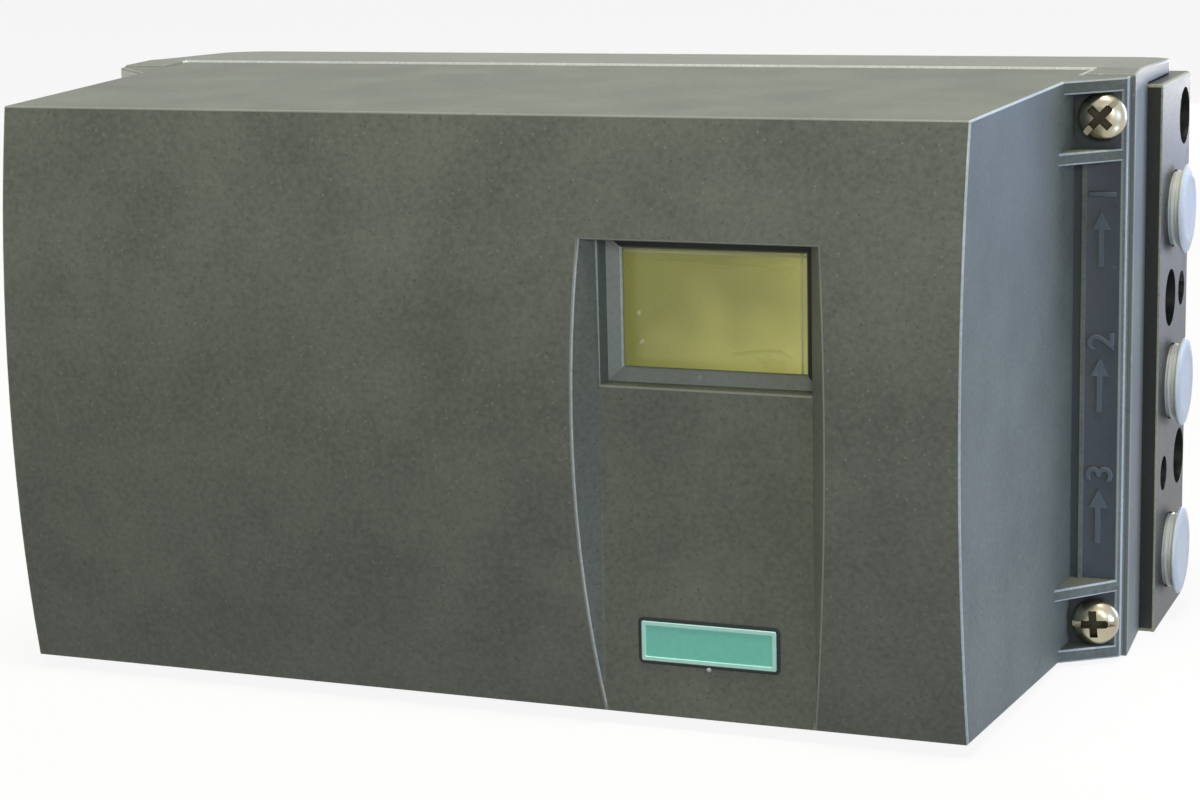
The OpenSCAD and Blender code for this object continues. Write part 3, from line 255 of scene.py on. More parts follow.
# glass-filled polycarbonate, spark-eroded mould: matt olive grey with a coarse grain
plasticSettings = {
    "coverPolycarbonate": {"colour": "#666b62", "rough": 0.54, "grain": 0.9, "depth": 0.34, "bump": 0.4,
                           "speckGap": 1.3, "speckShare": 0.7, "specular": 0.3},
    # the same plastic, lighter along broken edges as a painted highlight
    "plasticEdgeHighlight": {"colour": "#878c84", "rough": 0.36, "grain": 0.6, "depth": 0.12, "bump": 0.15,
                     "speckGap": 3.0, "speckShare": 0.15},
    # painted highlight: a pale, speckled line on edges that face the light
    "brightEdgeHighlight": {"colour": "#b9bfbd", "rough": 0.32, "grain": 0.7, "depth": 0.3, "bump": 0.3,
                   "speckGap": 1.2, "speckShare": 0.5},
    # painted shade: the flange's front faces take a darker, cooler copy of the cover plastic
    "shadedFlangePolycarbonate": {"colour": "#394148", "rough": 0.42, "grain": 0.9, "depth": 0.14, "bump": 0.15,
                            "speckGap": 2.4, "speckShare": 0.3},
    # raised marks, cool like the flange's painted shade and a little lighter as a painted highlight on them
    "markHighlightPolycarbonate": {"colour": "#565f66", "rough": 0.36, "grain": 0.9, "depth": 0.1, "bump": 0.1,
                            "speckGap": 2.4, "speckShare": 0.2},
    # painted highlight on the window frame's left and lower bevels: lighter than the grained faces
    "windowBevelHighlight": {"colour": "#848a83", "rough": 0.4, "grain": 0.8, "depth": 0.16, "bump": 0.2,
                    "speckGap": 2.4, "speckShare": 0.3},
    "basePolycarbonate": {"colour": "#6a6f67", "rough": 0.5, "grain": 0.55, "depth": 0.12, "bump": 0.3,
                          "speckGap": 2.6, "speckShare": 0.35},
    # glass-filled polyamide of the gland, the plug and the valve caps: near black, satin
    "blackPolyamide": {"colour": "#26282a", "rough": 0.45, "grain": 0.4, "depth": 0.18, "bump": 0.3,
                       "speckGap": 3.0, "speckShare": 0.2},
    # the same polyamide, lighter along its broken edges as a painted highlight
    "polyamideEdgeHighlight": {"colour": "#3d4042", "rough": 0.38, "grain": 0.4, "depth": 0.15, "bump": 0.2,
                      "speckGap": 3.0, "speckShare": 0.2},
    # ABS carrier and module cover
    "greyAbs": {"colour": "#9b9f9d", "rough": 0.48, "grain": 0.5, "depth": 0.06, "bump": 0.2,
                "speckGap": 4.0, "speckShare": 0.15},
    # a little brighter along the broken edges, a painted highlight
    "absEdgeHighlight": {"colour": "#adb1af", "rough": 0.4, "grain": 0.5, "depth": 0.05, "bump": 0.15,
                "speckGap": 4.0, "speckShare": 0.1},
    # acetal gears: waxy ivory
    "ivoryAcetal": {"colour": "#dcd6c0", "rough": 0.38, "grain": 0.7, "depth": 0.05, "bump": 0.1,
                    "speckGap": 5.0, "speckShare": 0.1},
    "yellowAbs": {"colour": "#d9b53a", "rough": 0.42, "grain": 0.5, "depth": 0.07, "bump": 0.15,
                  "speckGap": 4.0, "speckShare": 0.1},
    "greenPolyamide": {"colour": "#4f7a58", "rough": 0.46, "grain": 0.5, "depth": 0.08, "bump": 0.2,
                       "speckGap": 4.0, "speckShare": 0.15},
    # nitrile rubber rings: black and dull
    "nitrileRubber": {"colour": "#1b1b1c", "rough": 0.75, "grain": 0.3, "depth": 0.2, "bump": 0.4,
                      "speckGap": 3.0, "speckShare": 0.2},
    # die-cast aluminium under baked dark paint: a fine leathery skin
    "bakedPaint": {"colour": "#151915", "rough": 0.4, "grain": 0.7, "depth": 0.2, "bump": 0.5,
                   "speckGap": 2.2, "speckShare": 0.4},
    # the same paint, pale olive along every broken edge as a painted highlight
    "paintEdgeHighlight": {"colour": "#8c8f72", "rough": 0.4, "grain": 0.8, "depth": 0.3, "bump": 0.3,
                    "speckGap": 2.0, "speckShare": 0.5},
}
metalSettings = {
    # nickel-plated steel: bright and slightly warm
    "nickelSteel": {"colour": "#bdb69e", "rough": 0.26, "lines": (1, 1, 1), "gap": 0.5, "bump": 0.12},
    # painted shade: the same plating, dull and dark in the drive recess
    "recessShadeNickel": {"colour": "#4a473c", "rough": 0.5, "lines": (1, 1, 1), "gap": 0.5, "bump": 0.3},
    # ground stainless steel of the shaft
    "groundSteel": {"colour": "#b9bab6", "rough": 0.28, "lines": (0.1, 1, 0.1), "gap": 0.3, "bump": 0.25},
    "turnedBrass": {"colour": "#b9a878", "rough": 0.34, "lines": (0.1, 1, 0.1), "gap": 0.3, "bump": 0.2},
    # sintered bronze: dull and porous
    "sinteredBronze": {"colour": "#8f744a", "rough": 0.55, "lines": (1, 1, 1), "gap": 0.35, "bump": 0.8},
    "stampedAluminium": {"colour": "#b4b8ba", "rough": 0.34, "lines": (1, 0.1, 0.1), "gap": 0.4, "bump": 0.2},
}
finish = {name: mouldedPlastic(name, s) for name, s in plasticSettings.items()}
finish.update({name: machinedMetal(name, s) for name, s in metalSettings.items()})


def polyethylene(name):
    # low-density polyethylene caps: milky and slightly blue, soft gloss, thin enough to let light through
    material, tree, shader, where = startMaterial(name, "#d6dcdb", Roughness=0.34, IOR=1.51, Transmission_Weight=0.25,
                                                  Subsurface_Weight=0.3, Subsurface_Scale=1.2 * mm)
    toneRamp(tree, shader, noise(tree, where, 5, 3.0), (0, srgb("#dde4e4")), (1, srgb("#f3f7f7")))
    raiseGrain(tree, shader, noise(tree, where, 0.8), 0.15, 0.05)
    return material


def clearPane(name):
    # clear polycarbonate pane: nearly invisible, with a soft gloss
    material, tree, shader, where = startMaterial(name, "#dfe4d6", Roughness=0.06, IOR=1.58, Alpha=0.03)
    varyRough(tree, shader, noise(tree, where, 12, 0.0), 0.04, 0.12)
    return material


def displayFilm(name):
    # passive liquid crystal behind a loose protective film: olive and satin, with a painted glow that is lighter to the
    # lower right
    material, tree, shader, where = startMaterial(name, "#a9aa52", Roughness=0.26, IOR=1.5, Emission_Strength=0.3)
    across = addNode(tree, "ShaderNodeMapping", None,
                     {"Vector": where, "Location": (-0.2, 0, 0.25), "Scale": (16, 1, -14)})
    parts = addNode(tree, "ShaderNodeSeparateXYZ", None, {0: across.outputs[0]})
    slope = calculate(tree, "ADD", parts.outputs["X"], parts.outputs["Z"])
    ripple = noise(tree, where, 7, 0.0)
    mixed = addNode(tree, "ShaderNodeMath", {"operation": "MULTIPLY_ADD"}, {0: ripple, 1: 0.3, 2: slope})
    tone = toneRamp(tree, shader, mixed.outputs[0], (0, srgb("#8c8d46")), (0.55, srgb("#d4d27c")))
    tree.links.new(tone, shader.inputs["Emission Color"])  # painted glow in the tone's colour, brighter to the lower right
    varyRough(tree, shader, ripple, 0.2, 0.34)
    return material


def enamel(name, colour, rough, coat):
    # a thin even coat with a slight orange peel: fired enamel, the plate's painted shadow pad or the film's painted
    # highlight
    material, tree, shader, where = startMaterial(name, colour, Roughness=rough, IOR=1.5, Coat_Weight=coat,
                                                  Coat_Roughness=0.2)
    peel = noise(tree, where, 1.1)
    toneRamp(tree, shader, peel, (0, shade(colour, 0.92)), (1, shade(colour, 1.08)))
    raiseGrain(tree, shader, peel, 0.15, 0.04)
    return material


def circuitBoard(name):
    # glass-epoxy board under green lacquer, with copper tracks showing through
    lacquer = "#1d5a34"
    material, tree, shader, where = startMaterial(name, lacquer, Roughness=0.3, IOR=1.5)
    turn = addNode(tree, "ShaderNodeMapping", None, {"Vector": where, "Rotation": (math.radians(90), 0, 0)})
    tracks = addNode(tree, "ShaderNodeTexBrick", None,
                     {"Vector": turn.outputs[0], "Scale": perMm(9), "Color1": srgb(lacquer), "Color2": srgb("#19502d"),
                      "Mortar": srgb("#3c7d4c"), "Mortar Size": 0.035, "Brick Width": 0.9, "Row Height": 0.22})
    tree.links.new(tracks.outputs["Color"], shader.inputs["Base Color"])
    raiseGrain(tree, shader, tracks.outputs["Fac"], 0.2, 0.04)
    return material


for name, make in {"milkyPolyethylene": polyethylene, "clearPolycarbonate": clearPane, "oliveDisplay": displayFilm,
                   "greenLacquerBoard": circuitBoard}.items():
    finish[name] = make(name)
finish["tealEnamel"] = enamel("tealEnamel", "#7ad8c5", 0.35, 0.3)
finish["paleEnamel"] = enamel("paleEnamel", "#c2fbee", 0.3, 0.3)
# the dark pad round the plate is painted shadow
finish["plateShadowPad"] = enamel("plateShadowPad", "#0c1216", 0.7, 0.0)
finish["paleFilmHighlight"] = enamel("paleFilmHighlight", "#e6e6b4", 0.3, 0.0)  # painted highlight along the film's upper and right edges and on two specks
print("finishes made:", len(finish))

# every CAD node takes the finish of its real material
nodeFinish = {
    "coverPolycarbonate": ["front_cover"],
    "basePolycarbonate": ["base_housing"],
    "bakedPaint": ["pneumatic_block", "valve_manifold"],
    "blackPolyamide": ["gland_body", "gland_nut", "blanking_plug", "pilot_valve_upper", "pilot_valve_lower",
                       "display_frame", "potentiometer"],
    "greyAbs": ["electronics_carrier", "module_cover"],
    "ivoryAcetal": ["drive_gear", "pot_gear", "purge_selector"],
    "yellowAbs": ["adjusting_wheel", "button_left", "button_middle", "button_right"],
    "greenPolyamide": ["terminal_block_upper", "terminal_block_lower"],
    "nitrileRubber": ["cover_gasket", "shaft_seal", "gland_seal", "blanking_seal"],
    "nickelSteel": ["cover_screws", "block_screws", "manifold_screws", "bridge_screws", "carrier_screws",
                    "board_screws", "module_screws", "earth_clamp", "earth_screw", "clutch_spring", "shaft_clip"],
    "groundSteel": ["feedback_shaft"],
    "turnedBrass": ["mounting_inserts", "restrictor_upper", "restrictor_lower"],
    "sinteredBronze": ["exhaust_silencer", "shaft_bush"],
    "stampedAluminium": ["gear_bridge"],
    "milkyPolyethylene": ["port_plug_upper", "port_plug_middle", "port_plug_lower"],
    "clearPolycarbonate": ["window_pane"],
    "oliveDisplay": ["display_glass"],
    "greenLacquerBoard": ["main_board", "display_board"],
}
for name, members in nodeFinish.items():
    for member in members:
        nodes[member].data.materials.clear()
        nodes[member].data.materials.append(finish[name])


def addPiece(name, mesh, materials, body):
    piece = bpy.data.objects.new(name, mesh)
    scene.collection.objects.link(piece)
    if not mesh.materials:
        for material in materials:
            mesh.materials.append(finish[material])
    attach(piece, body)
    return piece


def softEdges(mesh, angle):
    # smooth shading that still breaks at the real edges
    for face in mesh.polygons:
        face.use_smooth = True
    mesh.set_sharp_from_angle(angle=math.radians(angle))


# mouldings and castings with their edges broken: a merged copy of the solid, bevelled
# depths of the flange and of the window's bevel from the rear face, place of the seam's lip in depth and height, mm
edgeSettings = {
    # on the cover the edge, flange and window bevel materials are painted highlights and painted shade, and its
    # nitrileRubber is painted shadow on the window's upper and right bevels
    "coverShell": {"node": "front_cover", "body": "cover", "slot": "cover_plastic", "width": 0.3,
                   "materials": ["coverPolycarbonate", "plasticEdgeHighlight", "brightEdgeHighlight", "shadedFlangePolycarbonate",
                                 "windowBevelHighlight", "nitrileRubber"],
                   "flange": (-45.7, -45.3), "bevel": (-97.2, -96.35), "brightRight": True},
    "baseShell": {"node": "base_housing", "body": "housing", "slot": "housing_plastic", "width": 0.4,
                  "materials": ["basePolycarbonate", "plasticEdgeHighlight", "brightEdgeHighlight"],
                  "lip": (-34.5, 48.5), "lipWidth": 0.9},
    "blockCasting": {"node": "pneumatic_block", "body": "housing", "slot": "block_metal", "width": 0.5,
                     "materials": ["bakedPaint", "paintEdgeHighlight"]},
    "manifoldCasting": {"node": "valve_manifold", "body": "housing", "slot": "manifold_metal", "width": 0.4,
                        "materials": ["bakedPaint", "paintEdgeHighlight"]},
    "glandBody": {"node": "gland_body", "body": "housing", "slot": "black_plastic", "width": 0.3,
                  "materials": ["blackPolyamide", "polyamideEdgeHighlight"]},
    "glandNut": {"node": "gland_nut", "body": "housing", "slot": "black_plastic", "width": 0.35,
                 "materials": ["blackPolyamide", "polyamideEdgeHighlight"]},
    "blankingPlug": {"node": "blanking_plug", "body": "housing", "slot": "black_plastic", "width": 0.3,
                     "materials": ["blackPolyamide", "polyamideEdgeHighlight"]},
    "moduleCover": {"node": "module_cover", "body": "housing", "slot": "grey_plastic", "width": 0.4,
                    "materials": ["greyAbs", "absEdgeHighlight"]},
    "carrierMoulding": {"node": "electronics_carrier", "body": "housing", "slot": "grey_plastic", "width": 0.35,
                        "materials": ["greyAbs", "absEdgeHighlight"]},
}


# what each place in a piece's list of materials is for: edge and brightEdge are painted highlights on bevels, flange is
# painted shade, bevel a painted highlight and bead painted shadow on the window's bevels
paint = {"plain": 0, "edge": 1, "brightEdge": 2, "flange": 3, "bevel": 4, "bead": 5}
# mm and degrees: points to merge, flat faces to join, edges to break, shading to split, and how many times wider than
# its break a face has to be
breakSettings = {"merge": 0.002, "flat": 0.6, "sharp": 30, "split": 25, "carry": 2.2}


def paintFaces(work, s):
    for face in work.faces:
        face.material_index = paint["plain"]
        depth, tilt = face.calc_center_median().y / mm, face.normal.x + face.normal.z
        # the flange's front faces take the painted shade
        if "flange" in s and s["flange"][0] < depth < s["flange"][1] and face.normal.y < -0.9:
            face.material_index = paint["flange"]
        # the left and lower bevels of the window take a painted highlight, the upper and right ones black rubber as
        # painted shadow
        if "bevel" in s and s["bevel"][0] < depth < s["bevel"][1] and face.normal.y < 0.2 < abs(tilt):
            face.material_index = paint["bevel"] if tilt > 0 else paint["bead"]


def bevelEdges(work, edges, width, segments, use):
    bmesh.ops.bevel(work, geom=edges, offset=width * mm, offset_type="OFFSET", segments=segments, profile=0.5,
                    affect="EDGES", clamp_overlap=False, loop_slide=True, material=paint[use])
    work.normal_update()


def meanWidth(face):
    return face.calc_area() / max(edge.calc_length() for edge in face.edges)


def breakEdges(name, s):
    sharp = math.radians(breakSettings["sharp"])
    work = bmesh.new()
    work.from_mesh(nodes[s["node"]].data)
    bmesh.ops.remove_doubles(work, verts=work.verts, dist=breakSettings["merge"] * mm)
    bmesh.ops.dissolve_limit(work, angle_limit=math.radians(breakSettings["flat"]), verts=work.verts, edges=work.edges)
    work.normal_update()
    paintFaces(work, s)
    if "lip" in s:  # the seam's upper lip is rounder than the other edges and takes a bright painted highlight
        depth, height = s["lip"]
        lip = [edge for edge in work.edges if edge.calc_face_angle(0) > sharp
               and all(abs(v.co.y / mm - depth) < 0.1 and abs(v.co.z / mm - height) < 0.1 for v in edge.verts)]
        bevelEdges(work, lip, s["lipWidth"], 3, "brightEdge")
    # outer edges between faces wide enough to carry the break
    wide = breakSettings["carry"] * s["width"] * mm
    broken = [edge for edge in work.edges if edge.is_manifold and edge.is_convex and edge.calc_face_angle() > sharp
              and all(meanWidth(face) > wide for face in edge.link_faces)]
    # their bevels take the piece's second material, a painted highlight
    bevelEdges(work, broken, s["width"], 2, "edge")
    if "brightRight" in s:  # edges that face the right take a bright painted highlight, those that face left or down go back to the plain plastic, unlit
        for face in work.faces:
            if face.material_index == paint["edge"] and face.normal.x > 0.3:
                face.material_index = paint["brightEdge"]
            elif face.material_index == paint["edge"] and min(face.normal.x, face.normal.z) < -0.3:
                face.material_index = paint["plain"]
    mesh = bpy.data.meshes.new(name)
    work.to_mesh(mesh)
    work.free()
    softEdges(mesh, breakSettings["split"])
    piece = addPiece(name, mesh, s["materials"], s["body"])
    even = piece.modifiers.new("evenShading", "WEIGHTED_NORMAL")
    even.weight, even.keep_sharp = 100, True
    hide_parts(s["node"])


for name, s in edgeSettings.items():
    breakEdges(name, s)
    print("edges broken:", name)


def turnedMesh(name, profile, steps):
    # closed solid of revolution about Z: pairs of height and radius in mm, from axis to axis
    work = bmesh.new()
    rings = []
    for height, radius in profile:
        around = 1 if radius == 0 else steps
        angles = [2 * math.pi * i / steps for i in range(around)]
        rings.append([work.verts.new((radius * mm * math.cos(a), radius * mm * math.sin(a), height * mm))
                      for a in angles])
    for low, high in zip(rings, rings[1:]):
        for i in range(steps):
            j = (i + 1) % steps
            corners = [low[i % len(low)], low[j % len(low)], high[j % len(high)], high[i % len(high)]]
            work.faces.new(list(dict.fromkeys(corners)))
    bmesh.ops.recalc_face_normals(work, faces=work.faces)
    mesh = bpy.data.meshes.new(name)
    work.to_mesh(mesh)
    work.free()
    return mesh


def arcPoints(middle, radius, start, end, count):
    # points of an arc in a height and radius profile, angles in degrees from the outward side
    angles = [math.radians(start + (end - start) * i / (count - 1)) for i in range(count)]
    return [(middle[0] + radius * math.sin(a), middle[1] + radius * math.cos(a)) for a in angles]


# cover screws: a turned pan head with a slot and a cross, ringed shank, repeated on the four corners
screwSettings = {"spacing": (176.8, 83.4), "seat": -45.5, "head": 7.8, "height": 3.0, "rim": 0.15, "flank": 0.34,
                 "crown": 0.62, "shank": 5.0, "length": 14.0, "pitch": 0.8, "start": 0.9, "plain": 3.0, "root": 0.4,
                 "crest": 0.05, "tip": 0.6, "slotWidth": 0.95, "slotLength": 8.4, "slotDepth": 1.15, "crossWidth": 1.3,
                 "crossLength": 4.5, "crossDepth": 2.1, "seed": 9}


def screwBlank(s):
    half, shank, end = s["head"] / 2, s["shank"] / 2, -s["length"]
    root, crest = shank - s["root"], shank - s["crest"]
    profile = [(end, 0), (end, root - s["root"]), (end + s["tip"], root)]
    for i in range(int((s["length"] - s["plain"]) / s["pitch"])):
        foot = end + s["start"] + i * s["pitch"]
        profile += [(foot, root), (foot + s["pitch"] / 2, crest)]
    profile += [(0, shank)]
    profile += arcPoints((s["rim"], half - s["rim"]), s["rim"], -90, 0, 3)
    profile += [(s["height"] * s["flank"], half)]
    for a in (math.radians(d) for d in (25, 45, 65, 80, 90)):
        profile += [(s["height"] * (s["flank"] + (1 - s["flank"]) * math.sin(a)),
                     half - half * s["crown"] * (1 - math.cos(a)))]
    profile += [(s["height"], 0)]
    return turnedMesh("screwBlank", profile, 40)


def addSocket(tree, name, kind, value=None):
    socket = tree.interface.new_socket(name=name, in_out="INPUT", socket_type=kind)
    if value is not None:
        socket.default_value = value


# the screw tree's sockets, and the setting that each one takes
driveSizes = {"Height": "height", "Slot Width": "slotWidth", "Slot Length": "slotLength", "Slot Depth": "slotDepth",
              "Cross Width": "crossWidth", "Cross Length": "crossLength", "Cross Depth": "crossDepth"}


def screwTree():
    # cuts the drive into the blank, then puts one on each point of the mesh that it works on
    tree = bpy.data.node_groups.new("driveScrews", "GeometryNodeTree")
    addSocket(tree, "Places", "NodeSocketGeometry")
    addSocket(tree, "Blank", "NodeSocketObject")
    addSocket(tree, "Finish", "NodeSocketMaterial")
    addSocket(tree, "Recess Shade", "NodeSocketMaterial")
    for name in driveSizes:
        addSocket(tree, name, "NodeSocketFloat", mm)
    addSocket(tree, "Seed", "NodeSocketInt", 1)
    tree.interface.new_socket(name="Screws", in_out="OUTPUT", socket_type="NodeSocketGeometry")
    given = addNode(tree, "NodeGroupInput").outputs
    blank = addNode(tree, "GeometryNodeObjectInfo", None, {"Object": given["Blank"]})
    cuts = []
    for part, turned in (("Slot", False), ("Cross", False), ("Cross", True)):
        deep = calculate(tree, "MULTIPLY", given[part + " Depth"], 2.0)
        flat = [given[part + " Length"], given[part + " Width"]]
        flat = flat[::-1] if turned else flat
        box = addNode(tree, "ShaderNodeCombineXYZ", None, {"X": flat[0], "Y": flat[1], "Z": deep})
        cube = addNode(tree, "GeometryNodeMeshCube", None, {"Size": box.outputs[0]})
        lift = addNode(tree, "ShaderNodeCombineXYZ", None, {"Z": given["Height"]})
        moved = addNode(tree, "GeometryNodeTransform", None,
                        {"Geometry": cube.outputs[0], "Translation": lift.outputs[0]})
        cuts.append(moved.outputs[0])
    last = blank.outputs["Geometry"]
    for cut in cuts:
        carved = addNode(tree, "GeometryNodeMeshBoolean", {"operation": "DIFFERENCE", "solver": "EXACT"},
                         {"Mesh 1": last, "Mesh 2": cut})
        last = carved.outputs[0]
    # faces of the cross: inside its reach, below the crown and above the seat
    spot = addNode(tree, "ShaderNodeSeparateXYZ", None, {0: addNode(tree, "GeometryNodeInputPosition").outputs[0]})
    level = addNode(tree, "ShaderNodeCombineXYZ", None, {"X": spot.outputs["X"], "Y": spot.outputs["Y"]})
    away = addNode(tree, "ShaderNodeVectorMath", {"operation": "LENGTH"}, {0: level.outputs[0]})
    reach = calculate(tree, "MULTIPLY", given["Cross Length"], 0.52)
    within = calculate(tree, "LESS_THAN", away.outputs["Value"], reach)
    below = calculate(tree, "LESS_THAN", spot.outputs["Z"], calculate(tree, "MULTIPLY", given["Height"], 0.82))
    above = calculate(tree, "GREATER_THAN", spot.outputs["Z"], 0.1 * mm)
    inside = calculate(tree, "MULTIPLY", calculate(tree, "MULTIPLY", within, below), above)
    last = addNode(tree, "GeometryNodeStoreNamedAttribute", {"data_type": "BOOLEAN", "domain": "FACE"},
                   {"Geometry": last, "Name": "drive", "Value": inside}).outputs[0]
    spin = addNode(tree, "FunctionNodeRandomValue", {"data_type": "FLOAT"},
                   {"Min": 0.0, "Max": math.pi, "Seed": given["Seed"]})
    angle = next(o for o in spin.outputs if o.enabled)
    tilt = addNode(tree, "ShaderNodeCombineXYZ", None, {"X": math.radians(90), "Y": angle})
    many = addNode(tree, "GeometryNodeInstanceOnPoints", None,
                   {"Points": given["Places"], "Instance": last, "Rotation": tilt.outputs[0]})
    real = addNode(tree, "GeometryNodeRealizeInstances", None, {"Geometry": many.outputs[0]})
    coated = addNode(tree, "GeometryNodeSetMaterial", None, {"Geometry": real.outputs[0], "Material": given["Finish"]})
    # the drive recess takes a dark painted shade
    drive = addNode(tree, "GeometryNodeInputNamedAttribute", {"data_type": "BOOLEAN"}, {"Name": "drive"})
    dulled = addNode(tree, "GeometryNodeSetMaterial", None,
                     {"Geometry": coated.outputs[0], "Selection": drive.outputs[0], "Material": given["Recess Shade"]})
    addNode(tree, "NodeGroupOutput", None, {"Screws": dulled.outputs[0]})
    return tree


def evaluated(maker):
    # the plain mesh that a modifier makes, with the maker and its modifier gone
    mesh = bpy.data.meshes.new_from_object(maker.evaluated_get(bpy.context.evaluated_depsgraph_get()))
    maker.modifiers.clear()
    bpy.data.objects.remove(maker)
    return mesh


def driveScrews(name, s, places, material):
    blank = bpy.data.objects.new("screwBlank", screwBlank(s))
    scene.collection.objects.link(blank)
    points = bpy.data.meshes.new(name)
    points.from_pydata([[c * mm for c in place] for place in places], [], [])
    maker = bpy.data.objects.new(name, points)
    scene.collection.objects.link(maker)
    modifier = maker.modifiers.new("driveScrews", "NODES")
    modifier.node_group = screwTree()
    values = {"Blank": blank, "Finish": finish[material], "Recess Shade": finish["recessShadeNickel"], "Seed": s["seed"]}
    values.update({name: s[key] * mm for name, key in driveSizes.items()})
    for item in modifier.node_group.interface.items_tree:
        if item.in_out == "INPUT" and item.name in values:
            modifier[item.identifier] = values[item.name]
    mesh = evaluated(maker)
    bpy.data.objects.remove(blank)
    mesh.name = name
    softEdges(mesh, 35)
    return mesh


corners = [(caseX + i * screwSettings["spacing"][0] / 2, screwSettings["seat"], k * screwSettings["spacing"][1] / 2)
           for i in (-1, 1) for k in (-1, 1)]
cornerScrews = addPiece("cornerScrews", driveScrews("cornerScrews", screwSettings, corners, "nickelSteel"),
                        ["nickelSteel"], "cover")
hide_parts("cover_screws")
print("screws driven:", len(corners))

# transport caps: a domed disc with a rolled rim on a neck with two snap rings, hollow behind
capSettings = {"face": 64.6, "across": -14.0, "heights": {"upper": 23.0, "middle": -7.0, "lower": -37.0}, "neck": 6.5,
               "disc": 7.6, "proud": 2.7, "depth": 7.0, "wall": 1.2, "web": 1.1, "rings": (0.1, 0.8), "ring": 0.22,
               "rim": 0.33}


def transportCap(name, s, height):
    neck, disc, proud, ring, rim = (s[k] for k in ("neck", "disc", "proud", "ring", "rim"))
    hollow, inner, end = neck - s["wall"], proud - s["web"], -s["depth"]
    profile = [(inner, 0), (inner, hollow - 0.4), (inner - 0.4, hollow), (end + 0.3, hollow), (end, hollow + 0.3),
               (end, neck - 0.5), (end + 0.5, neck)]
    for foot in s["rings"]:  # snap rings outside the port
        profile += [(foot, neck - ring), (foot + 0.12, neck - ring)]
        profile += arcPoints((foot + 0.38, neck - 0.2), ring, -60, 60, 5)
    profile += [(proud - 1.02, neck - 0.25), (proud - 0.98, disc - 0.35)]
    profile += arcPoints((proud - 2 * rim, disc - rim), rim, -80, 75, 7)
    # the dished face of the disc
    profile += [(proud - 0.12, disc * 0.86), (proud - 0.03, disc * 0.72), (proud - 0.08, disc * 0.66),
                (proud - 0.14, disc * 0.6), (proud - 0.1, disc * 0.35), (proud - 0.06, 0)]
    mesh = turnedMesh(name, profile, 72)
    place = Matrix.Translation(Vector((s["face"], s["across"], height)) * mm)
    mesh.transform(place @ Matrix.Rotation(math.pi / 2, 4, "Y"))
    softEdges(mesh, 50)
    return mesh


for place, height in capSettings["heights"].items():
    capName = place + "Cap"
    cap = addPiece(capName, transportCap(capName, capSettings, height), ["milkyPolyethylene"], place + "_plug")
    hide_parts("port_plug_" + place)
print("caps made")

# display: liquid crystal cell under a loose protective film, with creases that catch the light
displaySettings = {"middle": (9.8, 16.65), "size": (33.2, 22.1), "view": (29.4, 18.3), "front": -93.1, "thick": 1.8,
                   "cells": (166, 110), "edge": 0.4, "edgeIn": (1.5, 0.75), "wave": 0.05}
# creases from the middle of the window, mm: points, height, half width and the share of it painted pale as a highlight
filmCreases = [
    {"path": [(-14.2, 6.7), (-4.5, 6.8), (1.7, 6.4), (6.4, 6.4), (9.3, 5.6), (12.4, 6.4)], "high": 0.2, "half": 0.34},
    {"path": [(8.2, 7.2), (11.6, 7.6)], "high": 0.16, "half": 0.3},
    {"path": [(10.4, 5.2), (12.2, 6.7)], "high": 0.16, "half": 0.3},
    {"path": [(2.3, -6.8), (6.3, -6.1), (9.8, -6.1), (11.3, -7.0)], "high": 0.2, "half": 0.34},
    {"path": [(6.0, -7.4), (7.2, -8.0), (8.3, -7.3), (9.5, -8.0), (10.6, -7.5)], "high": 0.14, "half": 0.3},
    {"path": [(-13.3, -1.5), (-13.2, -1.3)], "high": 0.2, "half": 0.36, "white": 0.8},
    {"path": [(-13.0, -5.9), (-12.8, -5.7)], "high": 0.2, "half": 0.36, "white": 0.9},
]


def awayFrom(x, z, path):
    # shortest way from a point to a run of straight lines
    best = 1e9
    for (ax, az), (bx, bz) in zip(path, path[1:]):
        dx, dz = bx - ax, bz - az
        t = max(0.0, min(1.0, ((x - ax) * dx + (z - az) * dz) / (dx * dx + dz * dz)))
        best = min(best, math.hypot(x - ax - t * dx, z - az - t * dz))
    return best


def filmLift(s, x, z):
    # how far the film stands off at a point: a slow wave and the creases
    lift = s["wave"] * math.sin(0.31 * x + 0.2) * math.sin(0.43 * z - 0.6)
    for crease in filmCreases:
        away = awayFrom(x, z, crease["path"]) / crease["half"]
        lift += crease["high"] * math.exp(-away * away) if away < 4 else 0
    return lift


def whitened(s, x, z):
    # painted highlight along the film's upper and right edges, and on the two specks
    beside, above = (at - view / 2 + inset for at, view, inset in zip((x, z), s["view"], s["edgeIn"]))
    if -s["edge"] < beside < 0 or -s["edge"] < above < 0:
        return True
    return any(awayFrom(x, z, crease["path"]) < crease["half"] * crease.get("white", 0) for crease in filmCreases)


